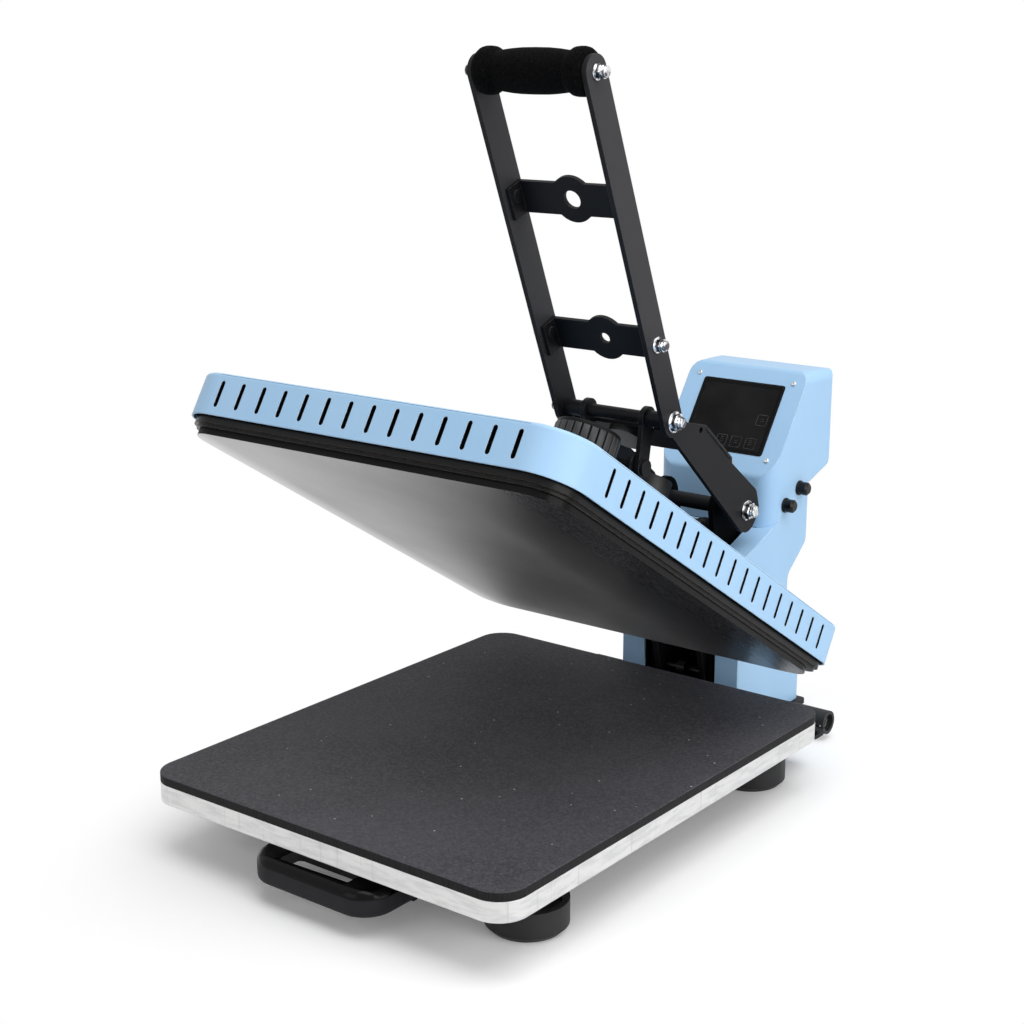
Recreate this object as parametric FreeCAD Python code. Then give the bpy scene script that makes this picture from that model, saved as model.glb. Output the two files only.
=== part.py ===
import FreeCAD, Part
import math
import os

from FreeCAD import Vector

os.makedirs("parts", exist_ok=True)

# Flat clamshell heat press, standing open. Millimetres.
# X runs across the press, Y to the rear, Z up. Everything is drawn from the bench under the middle
# of the pad, and saved from the bench under the middle of the whole press.

# Clearances
PIN_GAP = 0.05          # radial running gap of every pivot and shaft
SIDE_GAP = 0.4          # gap between neighbours that slide past each other
PRESS_GAP = 0.4         # heating plate to pad, when the press is shut

# Feet and base frame
FOOT_HEIGHT = 27.0
FOOT_RADIUS = 36.0
FOOT_BASE_RADIUS = 31.0
FOOT_CHAMFER = 5.0
FOOT_CUP_DEPTH = 5.0
FOOT_CUP_WALL = 6.0
FOOT_BOSS_RADIUS = 13.0
FRONT_FOOT_X = 148.0
FRONT_FOOT_Y = -154.0
LEFT_FOOT_SETBACK = 30.0    # the left front foot stands this much further back
REAR_FOOT_X = 137.0
REAR_FOOT_Y = 224.0
RAIL_CENTRE_X = 148.0
RAIL_WIDTH = 40.0
RAIL_HEIGHT = 16.0
RAIL_WALL = 2.0
RAIL_FRONT_Y = -195.0
RAIL_REAR_Y = 262.0
CAP_THICKNESS = 3.0
CAP_PLUG = 12.0
CROSS_DEPTH = 40.0
CROSS_THICKNESS = 6.0
CROSS_FRONT_Y = -64.0
CROSS_REAR_Y = 130.0
CROSS_INSET = 8.0       # cross member end inside the rail's outer face
REAR_BEAM_DEPTH = 34.0
BASE_PLATE_Z = 3.0
BASE_PLATE_THICKNESS = 5.0
BASE_PLATE_MARGIN = 8.0
PAD_FOOT_RADIUS = 9.0

# Drawer: silicone pad, aluminium plate, carriage and slides
PLATEN_WIDTH = 406.4
PLATEN_LENGTH = 508.0
PLATE_CORNER = 27.0
PLATE_THICKNESS = 18.0
PAD_THICKNESS = 8.0
DECK_GAP = 11.0         # rail top to plate underside
SLIDE_DEPTH = 13.0      # how far a slide stands out from its rail
SLIDE_HEIGHT = 13.0
SLIDE_WALL = 1.5
SLIDE_FRONT_Y = -190.0
SLIDE_REAR_Y = 250.0
CARRIAGE_WALL = 4.0
CARRIAGE_FRONT_Y = -205.0
CARRIAGE_REAR_Y = 200.0
CARRIAGE_BAR_DEPTH = 36.0
CARRIAGE_BAR_HEIGHT = 8.0
HANDLE_LOOP_HALF_WIDTH = 72.0
HANDLE_LOOP_FRONT_Y = -265.0
HANDLE_LOOP_THICKNESS = 24.0
HANDLE_LOOP_Z = 20.0
HANDLE_LOOP_BAR = 10.0
HANDLE_LOOP_SIDE = 37.0
HANDLE_LOOP_WEB = 8.0
HANDLE_LOOP_CORNER = 28.0
HANDLE_LOOP_ROUND = 6.0
FINGER_SLOT_CORNER = 4.0
APRON_THICKNESS = 5.0

# Main hinge and the opening angle
HINGE_Y = 309.0
HINGE_RISE = 53.0       # hinge axis above the pad
OPEN_ANGLE = 31.7
HINGE_PIN_RADIUS = 8.0
BOSS_RADIUS = 18.0
PIN_RING = 1.5

# Upper platen, sized in its shut position
HEAT_PLATE_WIDTH = 400.0
HEAT_PLATE_LENGTH = 504.0
HEAT_PLATE_THICKNESS = 5.7
HEAT_PLATE_BACK = 9.6
HEAT_PLATE_CORNER = 30.0
TRAY_THICKNESS = 9.3
TRAY_FRAME = 16.0       # inner edge of the tray's rim, from the cover's outside
TRAY_UPPER_INSET = 4.9
TRAY_LOWER_INSET = 8.0
TRAY_STEP = 3.0
TRAY_LIP = 8.0          # how far the tray reaches up inside the cover
BACKING_THICKNESS = 5.0
COVER_WIDTH = 420.0
COVER_LENGTH = 526.0
COVER_HEIGHT = 39.3
COVER_WALL = 1.6
COVER_FRONT_CORNER = 40.0
COVER_REAR_CORNER = 25.0
COVER_CENTRE_Y = 1.0
COVER_TOP_ROUND = 3.5
SLOT_WIDTH = 4.6
SLOT_LENGTH = 24.5
SLOT_DROP = 19.7        # slot middle below the cover top
FRONT_SLOT_COUNT = 14
FRONT_SLOT_PITCH = 24.95
SIDE_SLOT_COUNT = 18
SIDE_SLOT_PITCH = 24.4
SIDE_SLOT_START = 65.5

# Pressure screw and its seat on the platen
SPINDLE_Y = 47.0
SPINDLE_RADIUS = 8.0
SCREW_PITCH = 2.5
LIFT_RANGE = 10.0
MOUNT_RADIUS = 30.0
MOUNT_FLANGE = 5.0
MOUNT_TUBE_RADIUS = 14.0
MOUNT_TUBE_HEIGHT = 12.0
KNOB_RADIUS = 32.75
KNOB_HEIGHT = 23.0
KNOB_RIBS = 24
KNOB_GROOVE = 1.6
KNOB_NECK = 6.0         # knob above the crosshead
GUIDE_Y = 135.0
GUIDE_RADIUS = 6.0
GUIDE_BLOCK_LENGTH = 26.0

# Upper arm
ARM_HALF_GAP = 24.5
ARM_THICKNESS = 6.0
BEAM_RISE = 48.5        # beam middle above the cover top, shut
BEAM_RADIUS = 20.0
BEAM_FRONT_Y = 30.0
KNEE_Y = 272.0
CROSSHEAD_LENGTH = 44.0
LUG_RADIUS = 14.0
LUG_ROOT_Y = 128.0
LUG_ROOT_RADIUS = 17.0
LEVER_RADIUS = 11.0
LEVER_OUT_Y = 12.0      # strut pin, from the hinge, press open
LEVER_DROP = 73.0
STRUT_PIN_RADIUS = 4.0

# Uprights and column
UPRIGHT_HALF_GAP = 32.0
UPRIGHT_THICKNESS = 6.0
UPRIGHT_REAR_Y = 398.0
POST_TOP_RISE = 40.0
POST_NECK_DROP = 30.0
POST_SHOULDER_DROP = 50.0
EAR_RADIUS = 21.5
COLUMN_HALF_WIDTH = 72.0
COLUMN_FRONT_Y = 307.0
COLUMN_REAR_Y = 437.0
COLUMN_NECK_Y = 406.0
COLUMN_TOP_Y = 443.0
COLUMN_SHOULDER_RISE = 114.0    # front top edge above the pad
COLUMN_SLOPE = 0.366
COLUMN_WALL = 2.5
COLUMN_OPENING = 89.0
COLUMN_NECK_LOW = 110.0
COLUMN_NECK_HIGH = 158.0
COLUMN_BULGE_Z = 188.0
COLUMN_HEEL_Z = 55.0
LINER_WALL = 1.5
LINER_BACK_LOW_Z = 100.0    # the gas strut swings below this edge

# Control box
BOX_FRONT_Y = 366.0
BOX_CREASE_Z = 271.0
BOX_PANEL_ANGLE = 35.0
BOX_TOP_Z = 373.0
BOX_TOP_FALL = 3.0      # top rear edge below the top front edge
BOX_REAR_Y = 491.0
BOX_REAR_LOW_Z = 279.0
BOX_UNDERCUT_Y = 486.0
BOX_UNDERCUT_Z = 266.0
BOX_HEEL_Z = 252.0
BOX_FRONT_ROUND = 20.0
BOX_REAR_ROUND = 4.0
BOX_TOP_ROUND = 14.0
SCREEN_WIDTH = 100.0
SCREEN_HEIGHT = 83.0
SCREEN_THICKNESS = 3.0
SCREEN_PROUD = 0.6
PANEL_SCREW_X = 58.0
PANEL_SCREW_LOW = 18.5  # lower screws above the crease, along the panel
PANEL_SCREW_SPAN = 90.5
PANEL_SCREW_RADIUS = 2.6
FUSE_RADIUS = 7.0
FUSE_LENGTH = 12.0
FUSE_PLACES = ((423.4, 250.5), (394.4, 237.2))
INLET_WIDTH = 28.0
INLET_HEIGHT = 22.0
INLET_Z = 330.0
INLET_DEPTH = 14.0
INLET_FLANGE = 2.0
ROCKER_WIDTH = 14.0
ROCKER_HEIGHT = 22.0
ROCKER_SWING = 8.0
ROCKER_DEPTH = 10.0
ROCKER_X = 36.0
SOCKET_X = -20.0

# Handle linkage
LOWER_SHAFT_BACK = 17.5     # lower shaft behind the hinge
LOWER_SHAFT_RISE = 111.5    # lower shaft above the hinge
LOWER_SHAFT_RADIUS = 6.0
LOWER_SPACER_RADIUS = 8.0
CRANK_LENGTH = 183.94
CRANK_ANGLE = 140.78
LINK_LENGTH = 48.06
LINK_ANGLE = -100.2
LINK_WIDTH = 18.0
LINK_THICKNESS = 5.0
LINK_HALF_GAP = 32.0
LINK_HOOK_WALL = 5.0
LINK_BOLT_RADIUS = 5.0
UPPER_SHAFT_RADIUS = 6.5
SHAFT_END_RADIUS = 5.0
HANDLE_LEAN = 22.3
HANDLE_LENGTH = 352.5
BAR_RADIUS = 15.25
BAR_HALF_GAP = 60.0
BAR_THICKNESS = 5.0
BAND_LOW = 23.0
BAND_WAIST = 12.0       # lower edge beside the upper shaft
BAND_HIGH = 27.5
BAND_DIP = 23.0         # upper edge behind the notch
BAND_TAIL = 23.5
BAND_SHOULDER = 54.0
BAND_NOTCH = 120.0
BAND_LIP = 14.0
BAND_LIP_THICKNESS = 4.0
SWITCH_WIDTH = 8.0
SWITCH_HEIGHT = 14.0
SPARE_HOLE_RADIUS = 3.5
SPARE_HOLE_ALONG = 49.0
SPARE_HOLE_ACROSS = 18.5
STRAP_HEIGHT = 32.0
STRAP_THICKNESS = 4.0
STRAP_FACE = 8.0        # strap front face behind the bar's middle line
STRAP_TAB = 18.0
STRAP_DISC_RADIUS = 23.0
STRAP_LOW_HOLE = 5.5
STRAP_HIGH_HOLE = 9.0
STRAP_LOW = 80.0        # strap middles above the upper shaft
STRAP_HIGH = 225.0
STRAP_BOLT_RISE = 4.5   # bolt above the middle of the lower strap
GRIP_TUBE_RADIUS = 9.0
GRIP_COLLAR_RADIUS = 21.5
GRIP_NECK_RADIUS = 17.3
GRIP_BELLY_RADIUS = 20.3
GRIP_COLLAR_WIDTH = 19.0
WEB_THICKNESS = 4.0
WEB_LENGTH = 38.0
WEB_NOTCH_WIDTH = 7.0
WEB_NOTCH_DEPTH = 6.0
KEEPER_RADIUS = 20.0
KEEPER_THICKNESS = 6.0
MAGNET_RADIUS = 24.0
MAGNET_HEIGHT = 27.0

# Nuts and washers on the shaft ends
WASHER_THICKNESS = 1.6
NUT_THICKNESS = 5.5
STUD_PROUD = 4.0

# Gas strut
STRUT_ANCHOR_Y = 422.0
STRUT_ANCHOR_Z = 24.0
STRUT_RADIUS = 11.0
STRUT_TUBE_START = 9.0
STRUT_TUBE_LENGTH = 58.0
STRUT_ROD_RADIUS = 4.0
STRUT_WALL = 2.0
STRUT_EYE_BORE = 9.3
STRUT_EYE_RADIUS = 13.0
STRUT_EYE_WIDTH = 9.0

# Conduit with the heater leads
CONDUIT_RADIUS = 9.0
CONDUIT_ROOT = 7.4
CONDUIT_BORE = 6.0
CONDUIT_PITCH = 5.0
CONDUIT_BEND = 28.0
CONDUIT_X = 14.5
CONDUIT_LOW_Y = 352.0
CONDUIT_LOW_RISE = -45.0
CONDUIT_CORNER_Y = 348.0
CONDUIT_CORNER_RISE = 92.0
CONDUIT_END_Y = 292.0
CONDUIT_END_RISE = 84.0
CLAMP_DEPTH = 10.0
CLAMP_HEIGHT = 22.0

# Rear stabiliser
STABILISER_Y = 367.0
STABILISER_Z = 19.0
STABILISER_RADIUS = 9.0
STABILISER_BORE = 6.5
STABILISER_HALF_LENGTH = 149.0
STABILISER_SHOE_LENGTH = 44.0
STABILISER_SHOE_RADIUS = 12.5
STABILISER_SPLIT = 3.0
STABILISER_SPLIT_LENGTH = 24.0

# Places worked out from the sizes
press_middle_y = (HANDLE_LOOP_FRONT_Y + BOX_REAR_Y + INLET_FLANGE) / 2
rail_bottom = FOOT_HEIGHT
rail_top = rail_bottom + RAIL_HEIGHT
plate_bottom = rail_top + DECK_GAP
pad_bottom = plate_bottom + PLATE_THICKNESS
pad_top = pad_bottom + PAD_THICKNESS
hinge_z = pad_top + HINGE_RISE
base_plate_top = BASE_PLATE_Z + BASE_PLATE_THICKNESS
platen_bottom = pad_top + PRESS_GAP
tray_bottom = platen_bottom + HEAT_PLATE_THICKNESS
cover_bottom = tray_bottom + TRAY_THICKNESS
cover_top = cover_bottom + COVER_HEIGHT
beam_z = cover_top + BEAM_RISE
lower_shaft = (HINGE_Y + LOWER_SHAFT_BACK, hinge_z + LOWER_SHAFT_RISE)
arm_outer = ARM_HALF_GAP + ARM_THICKNESS
upright_outer = UPRIGHT_HALF_GAP + UPRIGHT_THICKNESS
link_outer = LINK_HALF_GAP + LINK_THICKNESS
bar_outer = BAR_HALF_GAP + BAR_THICKNESS


def polar(start, length, degrees):
    """Point (y, z) at a distance and angle from another, in the side view."""
    angle = math.radians(degrees)
    return (start[0] + length * math.cos(angle), start[1] + length * math.sin(angle))


def turned(point, centre, degrees):
    """Point (y, z) turned about a centre in the side view; positive turns Y towards Z."""
    angle = math.radians(degrees)
    dy = point[0] - centre[0]
    dz = point[1] - centre[1]
    return (centre[0] + dy * math.cos(angle) - dz * math.sin(angle),
            centre[1] + dy * math.sin(angle) + dz * math.cos(angle))


hinge = (HINGE_Y, hinge_z)
upper_shaft = polar(lower_shaft, CRANK_LENGTH, CRANK_ANGLE)
link_pin = polar(upper_shaft, LINK_LENGTH, LINK_ANGLE)
link_pin_shut = turned(link_pin, hinge, OPEN_ANGLE)
grip = polar(upper_shaft, HANDLE_LENGTH, 90.0 + HANDLE_LEAN)
strut_anchor = (STRUT_ANCHOR_Y, STRUT_ANCHOR_Z)
strut_pin = (HINGE_Y + LEVER_OUT_Y, hinge_z - LEVER_DROP)
strut_pin_shut = turned(strut_pin, hinge, OPEN_ANGLE)


def side_length(a, b):
    return math.hypot(b[0] - a[0], b[1] - a[1])


def side_angle(a, b):
    return math.degrees(math.atan2(b[1] - a[1], b[0] - a[0]))


def shut_crank_angle():
    """Angle of the crank once the link pin is at its shut place."""
    reach = side_length(lower_shaft, link_pin_shut)
    cosine = (CRANK_LENGTH ** 2 + reach ** 2 - LINK_LENGTH ** 2) / (2 * CRANK_LENGTH * reach)
    return side_angle(lower_shaft, link_pin_shut) % 360.0 - math.degrees(math.acos(min(1.0, cosine)))


handle_turn = shut_crank_angle() - CRANK_ANGLE
upper_shaft_shut = turned(upper_shaft, lower_shaft, handle_turn)
link_turn = (side_angle(upper_shaft_shut, link_pin_shut) - LINK_ANGLE) - handle_turn
strut_turn = side_angle(strut_anchor, strut_pin_shut) - side_angle(strut_anchor, strut_pin)
strut_stroke = side_length(strut_anchor, strut_pin_shut) - side_length(strut_anchor, strut_pin)


def box(x0, x1, y0, y1, z0, z1):
    return Part.makeBox(x1 - x0, y1 - y0, z1 - z0, Vector(x0, y0, z0))


def rod(radius, start, end):
    axis = Vector(*end) - Vector(*start)
    return Part.makeCylinder(radius, axis.Length, Vector(*start), axis)


def x_rod(radius, centre, x0, x1):
    """Cylinder along X, round a point (y, z)."""
    return rod(radius, (x0, centre[0], centre[1]), (x1, centre[0], centre[1]))


def x_tube(outer, inner, centre, x0, x1):
    return x_rod(outer, centre, x0, x1).cut(x_rod(inner, centre, x0 - 1, x1 + 1))


def fuse(shapes):
    whole = shapes[0]
    for shape in shapes[1:]:
        whole = whole.fuse(shape)
    return whole.removeSplitter()


def both_sides(shape):
    """The shape and its mirror image across the middle plane, as two solids."""
    return Part.Compound([shape, shape.mirror(Vector(0, 0, 0), Vector(1, 0, 0))])


def rounded_wire(points, radii):
    """Closed wire through corners, each rounded by its own radius; points are vectors."""
    count = len(points)
    edges = []
    ends = []
    for i in range(count):
        here = points[i]
        before = (points[i - 1] - here).normalize()
        after = (points[(i + 1) % count] - here).normalize()
        if radii[i] <= 0:
            ends.append((here, here, None))
            continue
        half = before.getAngle(after) / 2
        back = radii[i] / math.tan(half)
        middle = (before + after).normalize() * (radii[i] / math.sin(half) - radii[i])
        ends.append((here + before * back, here + after * back, here + middle))
    for i in range(count):
        start, stop, through = ends[i]
        if through is not None:
            edges.append(Part.Arc(start, through, stop).toShape())
        following = ends[(i + 1) % count][0]
        if (following - stop).Length > 1e-6:
            edges.append(Part.makeLine(stop, following))
    return Part.Wire(edges)


def x_plate(corners, x0, x1):
    """Plate between two X values. corners: (y, z, radius) in turn round its outline."""
    points = [Vector(x0, y, z) for y, z, radius in corners]
    wire = rounded_wire(points, [corner[2] for corner in corners])
    return Part.Face(wire).extrude(Vector(x1 - x0, 0, 0))


def z_slab(half_width, y0, y1, z0, z1, front_corner, rear_corner):
    """Flat slab with rounded upright corners."""
    points = [Vector(-half_width, y0, z0), Vector(half_width, y0, z0),
              Vector(half_width, y1, z0), Vector(-half_width, y1, z0)]
    wire = rounded_wire(points, [front_corner, front_corner, rear_corner, rear_corner])
    return Part.Face(wire).extrude(Vector(0, 0, z1 - z0))


def tapered_link(a, radius_a, b, radius_b, x0, x1):
    """Lever plate: two round ends joined by their outer tangents."""
    length = side_length(a, b)
    lean = math.degrees(math.acos((radius_a - radius_b) / length))
    along = side_angle(a, b)
    corners = []
    for centre, radius in ((a, radius_a), (b, radius_b)):
        corners.append([polar(centre, radius, along + lean), polar(centre, radius, along - lean)])
    far = polar(b, radius_b, along)
    near = polar(a, radius_a, along + 180.0)

    def at(point):
        return Vector(x0, point[0], point[1])
    wire = Part.Wire([
        Part.makeLine(at(corners[0][0]), at(corners[1][0])),
        Part.Arc(at(corners[1][0]), at(far), at(corners[1][1])).toShape(),
        Part.makeLine(at(corners[1][1]), at(corners[0][1])),
        Part.Arc(at(corners[0][1]), at(near), at(corners[0][0])).toShape(),
    ])
    return Part.Face(wire).extrude(Vector(x1 - x0, 0, 0))


def revolved(profile, centre, axis_end):
    """Solid of revolution. profile: (radius, height) pairs along the axis from centre to axis_end."""
    points = [Vector(radius, 0, height) for radius, height in profile]
    points.append(points[0])
    solid = Part.Face(Part.makePolygon(points)).revolve(Vector(0, 0, 0), Vector(0, 0, 1), 360)
    axis = Vector(*axis_end) - Vector(*centre)
    turn = FreeCAD.Rotation(Vector(0, 0, 1), axis)
    solid.Placement = FreeCAD.Placement(Vector(*centre), turn)
    return solid


def opened(shape):
    """Turn what was drawn shut up to the open rest position."""
    moved = shape.copy()
    moved.rotate(Vector(0, HINGE_Y, hinge_z), Vector(1, 0, 0), -OPEN_ANGLE)
    return moved


def on_handle(shape):
    """Place what was drawn with its bar upright at the origin: Z along the bar, Y to its rear."""
    moved = shape.copy()
    moved.rotate(Vector(0, 0, 0), Vector(1, 0, 0), HANDLE_LEAN)
    moved.translate(Vector(0, upper_shaft[0], upper_shaft[1]))
    return moved


def on_band(shape):
    """Place what was drawn with the crank along +Y from the origin."""
    moved = shape.copy()
    moved.rotate(Vector(0, 0, 0), Vector(1, 0, 0), CRANK_ANGLE - 180.0)
    moved.translate(Vector(0, upper_shaft[0], upper_shaft[1]))
    return moved


def save(name, shape):
    if not shape.isValid():
        print("not valid:", name)
    placed = shape.copy()
    placed.translate(Vector(0, -press_middle_y, 0))
    placed.exportStep("parts/" + name + ".step")
    print(name, len(placed.Solids), round(placed.Volume))


def nut_stack(centre, face_x, bore, size):
    """Washer, hexagon nut and rounded stud end on the outside of a plate, right-hand side."""
    washer_x = face_x + WASHER_THICKNESS
    nut_x = washer_x + NUT_THICKNESS
    washer = x_tube(size * 1.12, bore, centre, face_x, washer_x)
    corners = []
    for i in range(6):
        y, z = polar(centre, size, 60.0 * i)
        corners.append((y, z, 0.0))
    nut = x_plate(corners, washer_x, nut_x).cut(x_rod(bore, centre, washer_x - 1, nut_x + 1))
    return fuse([washer, nut])


# Base
def feet():
    cup = FOOT_HEIGHT - FOOT_CUP_DEPTH
    profile = [
        (0, 0), (FOOT_BASE_RADIUS, 0), (FOOT_RADIUS, FOOT_CHAMFER), (FOOT_RADIUS, FOOT_HEIGHT),
        (FOOT_RADIUS - FOOT_CUP_WALL, FOOT_HEIGHT), (FOOT_RADIUS - FOOT_CUP_WALL, cup),
        (FOOT_BOSS_RADIUS, cup), (FOOT_BOSS_RADIUS, FOOT_HEIGHT), (0, FOOT_HEIGHT),
    ]
    places = [
        (FRONT_FOOT_X, FRONT_FOOT_Y), (-FRONT_FOOT_X, FRONT_FOOT_Y + LEFT_FOOT_SETBACK),
        (REAR_FOOT_X, REAR_FOOT_Y), (-REAR_FOOT_X, REAR_FOOT_Y),
    ]
    solids = [revolved(profile, (x, y, 0), (x, y, 1)) for x, y in places]
    return Part.Compound(solids + column_pads())


def base_rails():
    half = RAIL_WIDTH / 2
    outer = box(RAIL_CENTRE_X - half, RAIL_CENTRE_X + half, RAIL_FRONT_Y, RAIL_REAR_Y, rail_bottom, rail_top)
    inner = box(RAIL_CENTRE_X - half + RAIL_WALL, RAIL_CENTRE_X + half - RAIL_WALL,
                RAIL_FRONT_Y - 1, RAIL_REAR_Y + 1, rail_bottom + RAIL_WALL, rail_top - RAIL_WALL)
    return both_sides(outer.cut(inner))


beam_reach = RAIL_CENTRE_X + RAIL_WIDTH / 2 - CAP_THICKNESS


def rail_end_caps():
    """Plastic caps pushed into the front ends of the rails and both ends of the rear beam."""
    half = RAIL_WIDTH / 2
    reach = RAIL_CENTRE_X + half
    front = fuse([
        box(RAIL_CENTRE_X - half, reach, RAIL_FRONT_Y - CAP_THICKNESS, RAIL_FRONT_Y, rail_bottom, rail_top),
        box(RAIL_CENTRE_X - half + RAIL_WALL, reach - RAIL_WALL, RAIL_FRONT_Y, RAIL_FRONT_Y + CAP_PLUG,
            rail_bottom + RAIL_WALL, rail_top - RAIL_WALL),
    ])
    rear_y = RAIL_REAR_Y + REAR_BEAM_DEPTH
    rear = fuse([
        box(beam_reach, reach, RAIL_REAR_Y, rear_y, rail_bottom, rail_top),
        box(beam_reach - CAP_PLUG, beam_reach, RAIL_REAR_Y + RAIL_WALL, rear_y - RAIL_WALL,
            rail_bottom + RAIL_WALL, rail_top - RAIL_WALL),
    ])
    mirrored = [cap.mirror(Vector(0, 0, 0), Vector(1, 0, 0)) for cap in (front, rear)]
    return Part.Compound([front, rear] + mirrored)


def cross_members():
    reach = RAIL_CENTRE_X + RAIL_WIDTH / 2 - CROSS_INSET
    bars = []
    for y in (CROSS_FRONT_Y, CROSS_REAR_Y):
        bars.append(box(-reach, reach, y - CROSS_DEPTH / 2, y + CROSS_DEPTH / 2,
                        rail_bottom - CROSS_THICKNESS, rail_bottom))
    return Part.Compound(bars)


def rear_beam():
    rear = RAIL_REAR_Y + REAR_BEAM_DEPTH
    outer = box(-beam_reach, beam_reach, RAIL_REAR_Y, rear, rail_bottom, rail_top)
    inner = box(-beam_reach - 1, beam_reach + 1, RAIL_REAR_Y + RAIL_WALL, rear - RAIL_WALL,
                rail_bottom + RAIL_WALL, rail_top - RAIL_WALL)
    return outer.cut(inner)


def base_plate():
    reach = COLUMN_HALF_WIDTH + BASE_PLATE_MARGIN
    plate = z_slab(reach, RAIL_REAR_Y, COLUMN_REAR_Y + BASE_PLATE_MARGIN,
                   BASE_PLATE_Z, base_plate_top, 0, 6)
    return plate


def column_pads():
    """Small round pads under the corners of the base plate."""
    inset = PAD_FOOT_RADIUS + 4
    x = COLUMN_HALF_WIDTH + BASE_PLATE_MARGIN - inset
    solids = []
    for y in (RAIL_REAR_Y + inset, COLUMN_REAR_Y + BASE_PLATE_MARGIN - inset):
        for side in (-1, 1):
            solids.append(rod(PAD_FOOT_RADIUS, (side * x, y, 0), (side * x, y, BASE_PLATE_Z)))
    return solids


def column_outline(inset):
    """Side outline of the column, offset inwards by the wall."""
    shoulder = pad_top + COLUMN_SHOULDER_RISE
    top = shoulder + (COLUMN_TOP_Y - COLUMN_FRONT_Y) * COLUMN_SLOPE
    front = COLUMN_FRONT_Y + inset
    return [
        (front, base_plate_top, 0),
        (COLUMN_REAR_Y - inset, base_plate_top, 0),
        (COLUMN_REAR_Y - inset, COLUMN_HEEL_Z, 20),
        (COLUMN_NECK_Y - inset, COLUMN_NECK_LOW, 30),
        (COLUMN_NECK_Y - inset, COLUMN_NECK_HIGH, 14),
        (COLUMN_TOP_Y - inset, COLUMN_BULGE_Z + inset / 2, 12),
        (COLUMN_TOP_Y - inset, top - inset, 0),
        (front, shoulder - inset, 3),
    ]


def column_cover():
    """Folded sheet housing, open at the front between its two strips and over the slope."""
    outer = x_plate(column_outline(0), -COLUMN_HALF_WIDTH, COLUMN_HALF_WIDTH)
    edge = COLUMN_HALF_WIDTH - COLUMN_WALL
    inner = x_plate(column_outline(COLUMN_WALL), -edge, edge)
    inner = inner.fuse(box(-edge, edge, COLUMN_FRONT_Y + COLUMN_WALL, COLUMN_REAR_Y - COLUMN_WALL,
                           base_plate_top - 1, base_plate_top + 5))
    half = COLUMN_OPENING / 2
    mouth = box(-half, half, COLUMN_FRONT_Y - 1, BOX_FRONT_Y - 2, base_plate_top - 1, BOX_TOP_Z)
    return outer.cut(inner).cut(mouth)


def column_liner():
    """Black folded liner behind the front strips."""
    half = COLUMN_OPENING / 2
    front = COLUMN_FRONT_Y + COLUMN_WALL
    top = pad_top + COLUMN_SHOULDER_RISE - COLUMN_WALL
    side = box(half - LINER_WALL, half, front, UPRIGHT_REAR_Y, base_plate_top, top)
    back = box(-half, half, UPRIGHT_REAR_Y, UPRIGHT_REAR_Y + LINER_WALL, LINER_BACK_LOW_Z, top)
    mirrored = side.mirror(Vector(0, 0, 0), Vector(1, 0, 0))
    return fuse([side, mirrored, back])


def uprights():
    """Two side plates from the base up to the lower shaft; the hinge pin passes through both."""
    ear = tapered_link(lower_shaft, EAR_RADIUS, (HINGE_Y + 36, hinge_z + 22), 26,
                       UPRIGHT_HALF_GAP, upright_outer)
    toe = COLUMN_FRONT_Y + 5
    post = x_plate([
        (toe, base_plate_top, 0), (UPRIGHT_REAR_Y, base_plate_top, 0),
        (UPRIGHT_REAR_Y, hinge_z + POST_TOP_RISE, 16), (HINGE_Y + 20, hinge_z + POST_TOP_RISE, 10),
        (HINGE_Y + 6, hinge_z - POST_NECK_DROP, 20), (toe, hinge_z - POST_SHOULDER_DROP, 10),
    ], UPRIGHT_HALF_GAP, upright_outer)
    nose = tapered_link(hinge, BOSS_RADIUS, (HINGE_Y + 40, hinge_z), 34, UPRIGHT_HALF_GAP, upright_outer)
    heel = box(UPRIGHT_HALF_GAP, upright_outer, RAIL_REAR_Y + REAR_BEAM_DEPTH, COLUMN_FRONT_Y + 6,
               base_plate_top, rail_top)
    plate = fuse([ear, post, nose, heel])
    for centre, radius in ((hinge, HINGE_PIN_RADIUS), (lower_shaft, LOWER_SHAFT_RADIUS)):
        plate = plate.cut(x_rod(radius + PIN_GAP, centre, UPRIGHT_HALF_GAP - 1, upright_outer + 1))
    return both_sides(plate)


def hinge_pin():
    """Main hinge pin with a retaining ring outside each upright."""
    reach = upright_outer + PIN_RING
    pin = x_rod(HINGE_PIN_RADIUS, hinge, -reach, reach)
    ring = x_tube(HINGE_PIN_RADIUS + 4, HINGE_PIN_RADIUS, hinge, upright_outer, reach)
    return Part.Compound([pin, ring, ring.mirror(Vector(0, 0, 0), Vector(1, 0, 0))])


def lower_shaft_rod():
    reach = bar_outer + WASHER_THICKNESS + NUT_THICKNESS + STUD_PROUD
    return x_rod(LOWER_SHAFT_RADIUS, lower_shaft, -reach, reach)


def lower_shaft_spacers():
    middle = x_tube(LOWER_SPACER_RADIUS, LOWER_SHAFT_RADIUS, lower_shaft, -UPRIGHT_HALF_GAP, UPRIGHT_HALF_GAP)
    side = x_tube(LOWER_SPACER_RADIUS + 1, LOWER_SHAFT_RADIUS, lower_shaft, upright_outer,
                  BAR_HALF_GAP - SIDE_GAP)
    mirrored = side.mirror(Vector(0, 0, 0), Vector(1, 0, 0))
    return Part.Compound([middle, side, mirrored])


def lower_shaft_nuts():
    return both_sides(nut_stack(lower_shaft, bar_outer + SIDE_GAP, LOWER_SHAFT_RADIUS, 9.5))


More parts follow.
